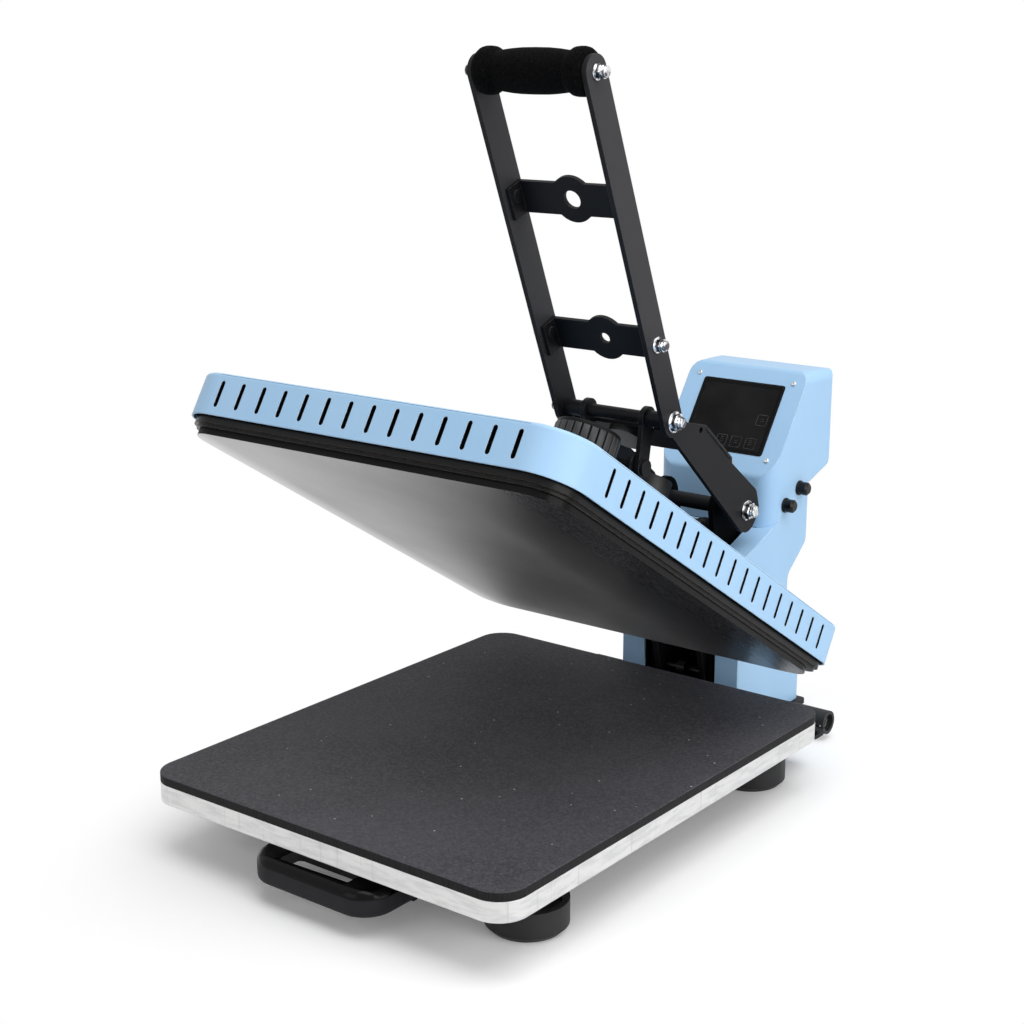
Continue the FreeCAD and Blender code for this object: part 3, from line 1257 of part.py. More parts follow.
def keeper_web():
    """Cross plate between the side plates, notched for the hook links; the keeper hangs under it."""
    half = WEB_LENGTH / 2
    web = box(-BAR_HALF_GAP, BAR_HALF_GAP, -half, half, 0, WEB_THICKNESS)
    for side in (-1, 1):
        x = side * (LINK_HALF_GAP + link_outer) / 2
        web = web.cut(box(x - WEB_NOTCH_WIDTH / 2, x + WEB_NOTCH_WIDTH / 2, -half - 1, WEB_NOTCH_DEPTH - half,
                          -1, WEB_THICKNESS + 1))
    return on_web(web)


def keeper_disc():
    """Steel keeper under the web and the head of its screw on top."""
    disc = rod(KEEPER_RADIUS, (0, 0, -KEEPER_THICKNESS), (0, 0, 0))
    screw = rod(5, (0, 0, WEB_THICKNESS), (0, 0, WEB_THICKNESS + 3.5))
    return on_web(Part.Compound([disc, screw]))


def limit_switch():
    """Small orange switch inside the notch of the right side plate."""
    return on_band(box(BAR_HALF_GAP - SWITCH_WIDTH, BAR_HALF_GAP, BAND_NOTCH - 2, BAND_NOTCH + 8,
                       BAND_HIGH - SWITCH_HEIGHT, BAND_HIGH + 1))


def hook_links():
    """Pair of links that hook over the upper shaft and reach down to the arm."""
    bore = UPPER_SHAFT_RADIUS + PIN_GAP
    outer = bore + LINK_HOOK_WALL
    x0 = LINK_HALF_GAP
    x1 = link_outer
    hook = x_rod(outer, upper_shaft, x0, x1)
    blade = tapered_link(upper_shaft, LINK_WIDTH / 2, link_pin, LINK_WIDTH / 2, x0, x1)
    link = fuse([hook, blade]).cut(x_rod(bore, upper_shaft, x0 - 1, x1 + 1))
    mouth = box(x0 - 1, x1 + 1, 0, outer + 2, -bore, -1.5)
    mouth.rotate(Vector(0, 0, 0), Vector(1, 0, 0), LINK_ANGLE + 110.0)
    mouth.translate(Vector(0, upper_shaft[0], upper_shaft[1]))
    link = link.cut(mouth)
    bolt = x_rod(LINK_BOLT_RADIUS + 3, link_pin, x1, x1 + 4)
    return both_sides(fuse([link, bolt]))


# Gas strut
def along_strut(shape):
    """Place what was drawn along +Y from the origin onto the line of the strut."""
    moved = shape.copy()
    moved.rotate(Vector(0, 0, 0), Vector(1, 0, 0), side_angle(strut_anchor, strut_pin))
    moved.translate(Vector(0, strut_anchor[0], strut_anchor[1]))
    return moved


def strut_cylinder():
    """Gas cylinder with its lower eye."""
    half = STRUT_EYE_WIDTH / 2
    end = STRUT_TUBE_START + STRUT_TUBE_LENGTH
    eye = x_rod(8.5, (0, 0), -half, half)
    neck = box(-half, half, 0, STRUT_TUBE_START + 1, -4, 4)
    tube = rod(STRUT_RADIUS, (0, STRUT_TUBE_START, 0), (0, end, 0))
    bore = rod(STRUT_RADIUS - STRUT_WALL, (0, STRUT_TUBE_START + 4, 0), (0, end - 4, 0))
    gland = rod(STRUT_ROD_RADIUS + PIN_GAP, (0, end - 5, 0), (0, end + 1, 0))
    body = fuse([eye, neck, tube]).cut(bore).cut(gland)
    body = body.cut(x_rod(STRUT_PIN_RADIUS + PIN_GAP, (0, 0), -half - 1, half + 1))
    return along_strut(body)


def strut_rod():
    """Piston rod; its eye is wide, because this is the pivot where the loop is opened."""
    reach = side_length(strut_anchor, strut_pin)
    half = STRUT_EYE_WIDTH / 2
    start = STRUT_TUBE_START + 6 + abs(strut_stroke)
    shaft = rod(STRUT_ROD_RADIUS, (0, start, 0), (0, reach - STRUT_EYE_BORE - 1, 0))
    piston = rod(STRUT_RADIUS - STRUT_WALL - PIN_GAP, (0, start, 0), (0, start + 6, 0))
    ring = x_tube(STRUT_EYE_RADIUS, STRUT_EYE_BORE, (reach, 0), -half, half)
    return along_strut(fuse([shaft, piston, ring]))


# Conduit on the arm, drawn open
def conduit_path():
    """Straight run up the column, a tangent bend, and a straight run into the clamp."""
    low = Vector(CONDUIT_X, CONDUIT_LOW_Y, hinge_z + CONDUIT_LOW_RISE)
    corner = Vector(CONDUIT_X, CONDUIT_CORNER_Y, hinge_z + CONDUIT_CORNER_RISE)
    end = Vector(CONDUIT_X, CONDUIT_END_Y, hinge_z + CONDUIT_END_RISE)
    back = (low - corner).normalize()
    on = (end - corner).normalize()
    half = back.getAngle(on) / 2
    start_bend = corner + back * (CONDUIT_BEND / math.tan(half))
    stop_bend = corner + on * (CONDUIT_BEND / math.tan(half))
    through = corner + (back + on).normalize() * (CONDUIT_BEND / math.sin(half) - CONDUIT_BEND)
    return Part.Wire([
        Part.makeLine(low, start_bend),
        Part.Arc(start_bend, through, stop_bend).toShape(),
        Part.makeLine(stop_bend, end),
    ])


def path_stations(wire, places):
    """Point and direction at each distance along a wire of lines and arcs."""
    stations = []
    for place in places:
        left = place
        for edge in wire.OrderedEdges:
            if left <= edge.Length + 1e-6 or edge.isSame(wire.OrderedEdges[-1]):
                parameter = edge.getParameterByLength(min(left, edge.Length))
                point = edge.valueAt(parameter)
                direction = edge.tangentAt(parameter)
                break
            left -= edge.Length
        stations.append((point, direction))
    return stations


def conduit():
    """Corrugated conduit with the heater leads: four circles to each rib, smooth cuffs and a bore."""
    path = conduit_path()
    cuff = 2 * CONDUIT_RADIUS
    count = int((path.Length - 2 * cuff) / CONDUIT_PITCH)
    start = (path.Length - count * CONDUIT_PITCH) / 2
    places = [0.0]
    radii = [CONDUIT_RADIUS]
    for i in range(count):
        for share, radius in (
                (0.0, CONDUIT_ROOT), (0.2, CONDUIT_ROOT), (0.4, CONDUIT_RADIUS), (0.8, CONDUIT_RADIUS)):
            places.append(start + (i + share) * CONDUIT_PITCH)
            radii.append(radius)
    places += [start + count * CONDUIT_PITCH, path.Length]
    radii += [CONDUIT_RADIUS, CONDUIT_RADIUS]
    rings = []
    bores = []
    for (point, direction), radius in zip(path_stations(path, places), radii):
        for size, group in ((radius, rings), (CONDUIT_BORE, bores)):
            circle = Part.Circle(point, direction, size)
            circle.XAxis = Vector(1, 0, 0)
            group.append(Part.Wire([circle.toShape()]))
    tube = Part.makeLoft(rings, True, True)
    bore = Part.makeLoft(bores[:1] + bores[1:-1:8] + bores[-1:], True, True)
    print("conduit bend radius", CONDUIT_BEND, "length", round(path.Length, 1), "ribs", count)
    return tube.cut(bore)


def conduit_clamp():
    """Cross bar between the arm plates that holds the conduit's upper end."""
    end = (CONDUIT_END_Y, hinge_z + CONDUIT_END_RISE)
    corner = (CONDUIT_CORNER_Y, hinge_z + CONDUIT_CORNER_RISE)
    bar = box(-ARM_HALF_GAP, ARM_HALF_GAP, 0, CLAMP_DEPTH, -CLAMP_HEIGHT / 2, CLAMP_HEIGHT / 2)
    bar.rotate(Vector(0, 0, 0), Vector(1, 0, 0), side_angle(corner, end))
    bar.translate(Vector(0, end[0], end[1]))
    return bar


NODES = {
    "rubber_feet": feet,
    "base_rails": base_rails,
    "rail_end_caps": rail_end_caps,
    "cross_members": cross_members,
    "rear_beam": rear_beam,
    "base_plate": base_plate,
    "column_cover": column_cover,
    "column_liner": column_liner,
    "uprights": uprights,
    "hinge_pin": hinge_pin,
    "lower_shaft": lower_shaft_rod,
    "lower_shaft_spacers": lower_shaft_spacers,
    "lower_shaft_nuts": lower_shaft_nuts,
    "strut_bracket": strut_bracket,
    "stabiliser_tube": stabiliser_tube,
    "stabiliser_shoes": stabiliser_shoes,
    "control_box": control_box,
    "touch_screen": touch_screen,
    "panel_screws": panel_screws,
    "fuse_holders": fuse_holders,
    "power_inlet": power_inlet,
    "rocker_switch": rocker_switch,
    "slide_rails_fixed": slide_rails_fixed,
    "slide_rails_moving": slide_rails_moving,
    "carriage": carriage,
    "aluminium_plate": aluminium_plate,
    "silicone_pad": silicone_pad,
    "pull_handle": pull_handle,
    "platen_cover": platen_cover,
    "heat_plate": heat_plate,
    "heater_tray": heater_tray,
    "insulation_blanket": insulation_blanket,
    "backing_plate": backing_plate,
    "platen_mount": platen_mount,
    "mount_bolts": mount_bolts,
    "guide_rod": guide_rod,
    "arm_plates": arm_plates,
    "crosshead": crosshead,
    "guide_block": guide_block,
    "arm_ties": arm_ties,
    "arm_cross_pins": arm_cross_pins,
    "holding_magnet": magnet,
    "magnet_bracket": magnet_bracket,
    "pressure_screw": spindle,
    "pressure_knob": pressure_knob,
    "grip_tube": grip_tube,
    "foam_grip": foam_grip,
    "upper_shaft": upper_shaft_rod,
    "upper_shaft_collars": upper_shaft_collars,
    "handle_nuts": handle_nuts,
    "keeper_web": keeper_web,
    "keeper_disc": keeper_disc,
    "limit_switch": limit_switch,
    "conduit": conduit,
    "hook_links": hook_links,
    "strut_cylinder": strut_cylinder,
    "strut_rod": strut_rod,
    "handle_side_plates": handle_side_plates,
    "cross_strap_lower": cross_strap_lower,
    "cross_strap_upper": cross_strap_upper,
}

for name, make in NODES.items():
    save(name, make())

print("handle turn", handle_turn, "link turn", link_turn)
print("strut turn", strut_turn, "strut stroke", strut_stroke)
print("hinge", hinge, "lower shaft", lower_shaft, "upper shaft", upper_shaft, "link pin", link_pin)
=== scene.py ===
import math

import bmesh
import bpy
from mathutils import Matrix, Vector


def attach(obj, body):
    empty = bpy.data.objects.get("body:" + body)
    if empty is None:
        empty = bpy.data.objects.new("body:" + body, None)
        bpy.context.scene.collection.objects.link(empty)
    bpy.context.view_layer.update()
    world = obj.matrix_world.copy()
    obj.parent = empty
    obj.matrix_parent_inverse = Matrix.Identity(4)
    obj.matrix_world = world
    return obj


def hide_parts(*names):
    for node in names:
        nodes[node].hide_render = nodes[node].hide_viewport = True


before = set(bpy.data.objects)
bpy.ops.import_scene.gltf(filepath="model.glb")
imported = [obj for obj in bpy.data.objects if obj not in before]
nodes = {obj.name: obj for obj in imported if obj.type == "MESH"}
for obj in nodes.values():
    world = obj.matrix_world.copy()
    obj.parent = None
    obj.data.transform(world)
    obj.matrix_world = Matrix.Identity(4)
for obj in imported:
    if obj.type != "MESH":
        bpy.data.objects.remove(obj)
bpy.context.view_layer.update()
bpy.ops.object.select_all(action="DESELECT")
scene = bpy.context.scene
scene.view_settings.view_transform = "Standard"

# Camera.
# The camera stands where the photographer stood: in front of the press, to its right and above the pad.
CAMERA_PLACE = (0.9772, -1.3571, 0.7140)
CAMERA_PITCH = 14.68
CAMERA_YAW = 37.804
LENS = 63.51
SENSOR = 36.0
NEAREST = 0.05

camera_data = bpy.data.cameras.new("camera")
camera_data.lens = LENS
camera_data.sensor_width = SENSOR
camera_data.clip_start = NEAREST
camera = bpy.data.objects.new("camera", camera_data)
camera.location = CAMERA_PLACE
camera.rotation_euler = (math.radians(90.0 - CAMERA_PITCH), 0.0, math.radians(CAMERA_YAW))
scene.collection.objects.link(camera)
scene.camera = camera

# Lamps and room.
# Three large soft boxes hang round the bench, and a white room fills the shadows.
LAMPS = {
    "overhead": ((0.7, -0.2, 2.4), (0.0, -0.1, 0.2), 2.2, 46.0),
    "front": ((-0.6, -2.8, 1.3), (0.0, -0.2, 0.1), 1.8, 9.0),
    "right": ((2.6, -0.3, 0.9), (0.0, 0.0, 0.3), 2.0, 34.0),
}
ROOM_STRENGTH = 0.25
WHITE = (1.0, 1.0, 1.0, 1.0)


def add(tree, kind, sockets=None, **settings):
    """Adds a shader node with its settings, and gives its sockets a value or a link."""
    made = tree.nodes.new(kind)
    for name, value in settings.items():
        setattr(made, name, value)
    for name, value in (sockets or {}).items():
        if isinstance(value, bpy.types.NodeSocket):
            tree.links.new(value, made.inputs[name])
        else:
            made.inputs[name].default_value = value
    return made


def sums(tree, operation, first, second=0.0):
    """The result of one sum on numbers or masks."""
    return add(tree, "ShaderNodeMath", {0: first, 1: second}, operation=operation).outputs[0]


def sees_backdrop(tree):
    """1 on camera, glossy and transmission rays, which see the white backdrop."""
    rays = add(tree, "ShaderNodeLightPath").outputs
    seen_or_mirrored = sums(tree, "MAXIMUM", rays["Is Camera Ray"], rays["Is Glossy Ray"])
    return sums(tree, "MAXIMUM", seen_or_mirrored, rays["Is Transmission Ray"])


for lamp_name, (place, target, size, watts) in LAMPS.items():
    lamp_data = bpy.data.lights.new(lamp_name, "AREA")
    lamp_data.shape = "SQUARE"
    lamp_data.size = size
    lamp_data.energy = watts
    lamp = bpy.data.objects.new(lamp_name, lamp_data)
    lamp.location = place
    lamp.rotation_euler = (Vector(target) - Vector(place)).to_track_quat("-Z", "Y").to_euler()
    scene.collection.objects.link(lamp)

world = bpy.data.worlds.new("studio")
scene.world = world
world.use_nodes = True
tree = world.node_tree
tree.nodes.clear()
room_light = add(tree, "ShaderNodeBackground", {"Color": WHITE, "Strength": ROOM_STRENGTH})
backdrop = add(tree, "ShaderNodeBackground", {"Color": WHITE, "Strength": 1.0})
world_mix = add(tree, "ShaderNodeMixShader", {
    0: sees_backdrop(tree), 1: room_light.outputs[0], 2: backdrop.outputs[0]})
add(tree, "ShaderNodeOutputWorld", {"Surface": world_mix.outputs[0]})

# Bench top.
# A white laminate sweep, lit from above. It keeps the soft shadow of the press and runs out to plain white.
FLOOR_REACH = 8.0
FLOOR_WHITE = (0.82, 0.82, 0.82, 1.0)
FLOOR_SEEN = (0.97, 0.97, 0.97, 1.0)
FLOOR_GRAIN = 900.0
FLOOR_GLOW = 0.11
FADE_CENTRE = (0.03, -0.12, 0.0)
FADE_SCALE = (3.33, 2.38, 1.0)
FADE_START = 0.80
FADE_END = 1.28


def object_place(tree):
    """The place of each point of a piece, in metres."""
    return add(tree, "ShaderNodeTexCoord").outputs["Object"]


def noise(tree, scale, place=None, **values):
    """A soft random mask with this many changes a metre."""
    values.update(Scale=scale, Vector=place or object_place(tree))
    return add(tree, "ShaderNodeTexNoise", values).outputs["Fac"]


def vector_sums(tree, operation, first, second=(0.0, 0.0, 0.0)):
    """The outputs of one sum on points or directions."""
    return add(tree, "ShaderNodeVectorMath", {0: first, 1: second}, operation=operation).outputs


bpy.ops.mesh.primitive_plane_add(size=2 * FLOOR_REACH, location=(0, 0, 0))
floor = bpy.context.object
floor.name = "bench_top"
floor_paint = bpy.data.materials.new("bench_laminate")
floor_paint.use_nodes = True
tree = floor_paint.node_tree
tree.nodes.clear()
floor_grain = noise(tree, FLOOR_GRAIN)
floor_bump = add(tree, "ShaderNodeBump", {"Height": floor_grain, "Strength": 0.02}).outputs[0]
laminate = add(tree, "ShaderNodeBsdfDiffuse", {"Color": FLOOR_WHITE, "Normal": floor_bump})
glow = add(tree, "ShaderNodeEmission", {"Strength": FLOOR_GLOW})
seen = add(tree, "ShaderNodeBsdfDiffuse", {"Color": FLOOR_SEEN, "Normal": floor_bump})
lit = add(tree, "ShaderNodeAddShader", {0: seen.outputs[0], 1: glow.outputs[0]})
off_centre = vector_sums(tree, "SUBTRACT", object_place(tree), FADE_CENTRE)[0]
oval = vector_sums(tree, "MULTIPLY", off_centre, FADE_SCALE)[0]
from_press = vector_sums(tree, "LENGTH", oval)["Value"]
far = add(tree, "ShaderNodeMapRange", {
    "Value": from_press, "From Min": FADE_START, "From Max": FADE_END}, interpolation_type="SMOOTHSTEP")
white = add(tree, "ShaderNodeEmission", {"Strength": 1.0})
swept = add(tree, "ShaderNodeMixShader", {0: far.outputs[0], 1: lit.outputs[0], 2: white.outputs[0]})
floor_mix = add(tree, "ShaderNodeMixShader", {
    0: sees_backdrop(tree), 1: laminate.outputs[0], 2: swept.outputs[0]})
add(tree, "ShaderNodeOutputMaterial", {"Surface": floor_mix.outputs[0]})
floor.data.materials.append(floor_paint)
bpy.ops.object.select_all(action="DESELECT")

# Rubber feet and stabiliser shoes.
# Feet and shoes are moulded in hard black rubber. The feet are bolted up into the frame and the shoes are
# pushed on to the ends of the steel stabiliser tube behind the column.
RUBBER_BLACK = (0.009, 0.009, 0.010)
RUBBER_PALE = (0.014, 0.014, 0.015)
RUBBER_DUSTY = (0.030, 0.030, 0.031)


def effect(name, wants, gives):
    """A shader node group with named number inputs and named outputs."""
    group = bpy.data.node_groups.new(name, "ShaderNodeTree")
    for socket, value in wants.items():
        made = group.interface.new_socket(name=socket, in_out="INPUT", socket_type="NodeSocketFloat")
        made.default_value = value
    for socket, kind in gives.items():
        group.interface.new_socket(name=socket, in_out="OUTPUT", socket_type=kind)
    return group, group.nodes.new("NodeGroupInput"), group.nodes.new("NodeGroupOutput")


def place_effect(tree, group, **values):
    """Places a shader node group in a material with its own numbers, and gives its outputs."""
    return add(tree, "ShaderNodeGroup", values, node_tree=group).outputs


def levels(tree, mask, low, high, start=0.0, stop=1.0):
    """A number that goes from low to high as the mask goes from start to stop."""
    return add(tree, "ShaderNodeMapRange", {
        "Value": mask, "From Min": start, "From Max": stop, "To Min": low, "To Max": high}).outputs[0]


# Effect: moulded or sprayed grain, as fine height and slow light and dark clouds
moulded_grain, entry, leave = effect(
    "moulded_grain", {"Fineness": 1000.0, "Cloud": 14.0},
    {"Height": "NodeSocketFloat", "Shade": "NodeSocketFloat"})
fine = noise(moulded_grain, entry.outputs["Fineness"], Detail=2.0, Roughness=0.6)
cloud = noise(moulded_grain, entry.outputs["Cloud"], Detail=3.0)
moulded_grain.links.new(fine, leave.inputs["Height"])
moulded_grain.links.new(cloud, leave.inputs["Shade"])

# Effect: softly rounded edges, and a broken mask along them, which carries scuffing on some coats and a
# painted highlight on others
worn_and_lit_edge, entry, leave = effect(
    "worn_and_lit_edge", {"Radius": 0.001, "Fineness": 260.0},
    {"Normal": "NodeSocketVector", "Wear and Highlight": "NodeSocketFloat"})
rounding = add(worn_and_lit_edge, "ShaderNodeBevel", {"Radius": entry.outputs["Radius"]}, samples=4)
true_normal = add(worn_and_lit_edge, "ShaderNodeNewGeometry").outputs["True Normal"]
likeness = vector_sums(worn_and_lit_edge, "DOT_PRODUCT", rounding.outputs["Normal"], true_normal)["Value"]
patches = noise(worn_and_lit_edge, entry.outputs["Fineness"], Detail=3.0)
wear_and_highlight = sums(worn_and_lit_edge, "MULTIPLY", levels(worn_and_lit_edge, likeness, 0.0, 1.0, 0.985, 0.90),
            levels(worn_and_lit_edge, patches, 0.0, 1.0, 0.35, 0.65))
worn_and_lit_edge.links.new(rounding.outputs["Normal"], leave.inputs["Normal"])
worn_and_lit_edge.links.new(wear_and_highlight, leave.inputs["Wear and Highlight"])


def grain_in(tree, fineness, cloud):
    """The height and the shade of a grain, placed in a material."""
    return place_effect(tree, moulded_grain, Fineness=fineness, Cloud=cloud)


def material(name, roughness, metallic=0.0, specular=0.5):
    """An empty material with its Principled shader."""
    made = bpy.data.materials.new(name)
    made.use_nodes = True
    made.node_tree.nodes.clear()
    shader = add(made.node_tree, "ShaderNodeBsdfPrincipled", {
        "Roughness": roughness, "Metallic": metallic, "Specular IOR Level": specular})
    add(made.node_tree, "ShaderNodeOutputMaterial", {"Surface": shader.outputs[0]})
    return made, made.node_tree, shader


def shades(tree, mask, *stops):
    """A colour for each level of a mask, blended between the stops."""
    ramp = tree.nodes.new("ShaderNodeValToRGB")
    tree.links.new(mask, ramp.inputs["Fac"])
    for count, (level, colour) in enumerate(stops):
        stop = ramp.color_ramp.elements[count] if count < 2 else ramp.color_ramp.elements.new(level)
        stop.position = level
        stop.color = (*colour, 1.0)
    return ramp.outputs["Color"]


def over(tree, mask, under, top):
    """The top colour laid over the one under it where the mask is 1."""
    under, top = (colour if isinstance(colour, bpy.types.NodeSocket) else (*colour, 1.0)
                  for colour in (under, top))
    return add(tree, "ShaderNodeMix", {0: mask, 6: under, 7: top}, data_type="RGBA").outputs[2]


def facing_along(tree, axis):
    """How far each face looks along X, Y or Z, from -1 to 1."""
    normal = add(tree, "ShaderNodeNewGeometry").outputs["Normal"]
    return add(tree, "ShaderNodeSeparateXYZ", {0: normal}).outputs[axis]


def relief(tree, height, strength, depth, normal=None):
    """A bump of the given depth in metres, over a rounded normal where there is one."""
    sockets = {"Height": height, "Strength": strength, "Distance": depth}
    if normal is not None:
        sockets["Normal"] = normal
    return add(tree, "ShaderNodeBump", sockets).outputs[0]


def dress(shader, **sources):
    """Links sources to the shader's sockets, which are named with a low line for a space."""
    for socket, source in sources.items():
        shader.id_data.links.new(source, shader.inputs[socket.replace("_", " ")])


def coat(name, dark, pale, edge_wear_and_highlight, roughness, fineness, depth, radius=0.0008, specular=0.5, cloud=14.0):
    """A sprayed or moulded surface: grain, slow clouds from dark to pale, and paler edges, scuffed on some
    coats and a painted highlight on others.
    """
    made, tree, shader = material(name, roughness, specular=specular)
    grain = grain_in(tree, fineness, cloud)
    edges = place_effect(tree, worn_and_lit_edge, Radius=radius)
    base = shades(tree, grain["Shade"], (0.35, dark), (0.65, pale))
    dress(shader, Base_Color=over(tree, edges["Wear and Highlight"], base, edge_wear_and_highlight),
          Roughness=levels(tree, grain["Shade"], roughness - 0.05, roughness + 0.05),
          Normal=relief(tree, grain["Height"], 0.5, depth, edges["Normal"]))
    return made


def finish(paint, *names):
    """Gives CAD nodes their material."""
    for name in names:
        nodes[name].data.materials.clear()
        nodes[name].data.materials.append(paint)


rubber = coat("hard_rubber", RUBBER_BLACK, RUBBER_PALE, RUBBER_DUSTY, roughness=0.55, fineness=1400.0,
              depth=0.00012, radius=0.0012, specular=0.35)
finish(rubber, "rubber_feet", "stabiliser_shoes")

# Base frame.
# Folded and welded steel: two long rails, two cross members, a rear beam and the base plate that carries the
# uprights of the column. All of it is sprayed with a fine black powder coat.
COAT_BLACK = (0.0060, 0.0060, 0.0070)
COAT_PALE = (0.0100, 0.0098, 0.0114)
# The pale edge colour is partly scuffing and partly a painted highlight along the edges of the black parts.
COAT_WORN_AND_HIGHLIGHT = (0.10, 0.10, 0.105)

black_coat = coat("black_powder_coat", COAT_BLACK, COAT_PALE, COAT_WORN_AND_HIGHLIGHT, roughness=0.46, fineness=1700.0,
                  depth=0.00008, specular=0.11)
finish(black_coat, "base_rails", "cross_members", "rear_beam", "base_plate", "carriage")

# Rail end caps.
# Square black polypropylene plugs, pushed into the open ends of the rails.
CAP_BLACK = (0.0022, 0.0022, 0.0027)
CAP_PALE = (0.0040, 0.0040, 0.0045)
CAP_WORN = (0.03, 0.03, 0.032)

cap_plastic = coat("moulded_black_plastic", CAP_BLACK, CAP_PALE, CAP_WORN, roughness=0.24, fineness=2200.0,
                   depth=0.00003, radius=0.0009, specular=0.22)
finish(cap_plastic, "rail_end_caps")

# Drawer slides and stabiliser tube.
# The slides are rolled and zinc-plated steel with a slightly yellow, cloudy plate. The tube is bare drawn
# steel, with fine lines along its length.
ZINC_BRIGHT = (0.66, 0.66, 0.65)
ZINC_DULL = (0.46, 0.46, 0.47)
STEEL_BRIGHT = (0.58, 0.58, 0.58)
STEEL_DULL = (0.42, 0.42, 0.43)

# Effect: lines drawn along one way, such as brushing or drawing marks
drawn_lines, entry, leave = effect(
    "drawn_lines", {"Across X": 900.0, "Across Y": 900.0, "Across Z": 900.0}, {"Lines": "NodeSocketFloat"})
spread = add(drawn_lines, "ShaderNodeCombineXYZ", {
    "X": entry.outputs["Across X"], "Y": entry.outputs["Across Y"], "Z": entry.outputs["Across Z"]})
stretched = vector_sums(drawn_lines, "MULTIPLY", object_place(drawn_lines), spread.outputs[0])[0]
marks = noise(drawn_lines, 1.0, stretched, Detail=3.0, Roughness=0.6)
drawn_lines.links.new(marks, leave.inputs["Lines"])


def lines_across(tree, *across):
    """A mask of drawn lines. Along X, Y and Z it changes this many times a metre."""
    values = {"Across " + axis: value for axis, value in zip("XYZ", across)}
    return place_effect(tree, drawn_lines, **values)["Lines"]


def bright_metal(name, bright, dull, roughness, radius=0.0005, cloud=60.0, dull_to=0.3, bright_from=0.7):
    """Plated or bare metal with drawing marks, cloudy plate and softly rounded edges. On chrome the clouds
    are a painted reflection.
    """
    made, tree, shader = material(name, roughness, metallic=1.0)
    lines = lines_across(tree, 60.0, 900.0, 900.0)
    grain = grain_in(tree, 1200.0, cloud)
    edges = place_effect(tree, worn_and_lit_edge, Radius=radius)
    dress(shader, Base_Color=shades(tree, grain["Shade"], (dull_to, dull), (bright_from, bright)),
          Roughness=levels(tree, lines, roughness - 0.08, roughness + 0.10),
          Normal=relief(tree, lines, 0.35, 0.00004, edges["Normal"]))
    return made


zinc = bright_metal("zinc_plate", ZINC_BRIGHT, ZINC_DULL, roughness=0.30)
drawn_steel = bright_metal("drawn_steel", STEEL_BRIGHT, STEEL_DULL, roughness=0.32)
finish(zinc, "slide_rails_fixed", "slide_rails_moving")
finish(drawn_steel, "stabiliser_tube")

# Pull handle.
# A black nylon loop, injection-moulded, screwed to the front of the drawer's carriage. Its top and rounded
# edge are polished by the mould, and its upright faces are left matt.
NYLON_BLACK = (0.0016, 0.0016, 0.0020)
NYLON_FACE = (0.019, 0.019, 0.0215)
LOOP_HALF = 0.0720
LOOP_FRONT = -0.3790
LOOP_REAR = -0.3240
LOOP_LOW = 0.0200
LOOP_HIGH = 0.0440
LOOP_CORNER = 0.0280
LOOP_TOP_ROUND = 0.0085
LOOP_FOOT_ROUND = 0.0040
HOLE_HALF = 0.0375
HOLE_FRONT = -0.3695
HOLE_REAR = -0.3320
HOLE_SPREAD = 0.0070
HOLE_FLARE = 1.55
HOLE_CORNER = 0.0040
HOLE_ROUND = 0.0025
OVERCUT = 0.001
NEAR = 1e-5


def apply_place():
    bpy.ops.object.transform_apply(location=True, rotation=True, scale=True)


def start_editing(name):
    """Names the new primitive, applies its place, and opens it for editing with nothing selected."""
    made = bpy.context.object
    made.name = name
    made.data.name = name
    apply_place()
    bpy.ops.object.mode_set(mode="EDIT")
    bpy.ops.mesh.select_all(action="DESELECT")
    return made


def start_block(name, low, high):
    """Adds a cube between two corners and leaves it in edit mode, with nothing selected."""
    middle = [(a + b) / 2 for a, b in zip(low, high)]
    bpy.ops.mesh.primitive_cube_add(size=1.0, location=middle, scale=[b - a for a, b in zip(low, high)])
    return start_editing(name)


def pick(piece, kind, wanted):
    """Selects, in edit mode, the piece's verts, edges or faces that are wanted."""
    bpy.ops.mesh.select_mode(type={"verts": "VERT", "edges": "EDGE", "faces": "FACE"}[kind])
    bpy.ops.mesh.select_all(action="DESELECT")
    mesh = bmesh.from_edit_mesh(piece.data)
    for part in getattr(mesh, kind):
        part.select = wanted(part)
    mesh.select_flush_mode()
    bmesh.update_edit_mesh(piece.data)


def pick_edges(piece, wanted):
    """Selects the edges that have both their ends at a wanted place."""
    pick(piece, "edges", lambda edge: all(wanted(vert.co) for vert in edge.verts))


def upright(edge):
    a, b = (vert.co for vert in edge.verts)
    return abs(a.x - b.x) < NEAR and abs(a.y - b.y) < NEAR


def select_all():
    bpy.ops.mesh.select_all(action="SELECT")


def round_off(offset, segments):
    """Rounds the selected edges."""
    bpy.ops.mesh.bevel(offset=offset, segments=segments, profile=0.5)


def leave_edit():
    bpy.ops.object.mode_set(mode="OBJECT")


def take_up(*pieces):
    """Selects these pieces alone, with the first of them active."""
    bpy.ops.object.select_all(action="DESELECT")
    for piece in pieces:
        piece.select_set(True)
    bpy.context.view_layer.objects.active = pieces[0]


def finish_piece(piece, paint, body, smooth=35.0):
    """Leaves edit mode, rounds the shading, and puts the piece on its body."""
    leave_edit()
    take_up(piece)
    apply_place()
    bpy.ops.object.shade_smooth_by_angle(angle=math.radians(smooth))
    piece.data.materials.clear()
    piece.data.materials.append(paint)
    piece.select_set(False)
    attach(piece, body)


def carve(piece, tool):
    """Cuts a tool's shape out of a piece, removes the tool, and leaves the piece in edit mode."""
    leave_edit()
    cut = piece.modifiers.new("cut", "BOOLEAN")
    cut.operation = "DIFFERENCE"
    cut.object = tool
    take_up(piece)
    bpy.ops.object.modifier_apply(modifier=cut.name)
    bpy.data.objects.remove(tool)
    bpy.ops.object.mode_set(mode="EDIT")


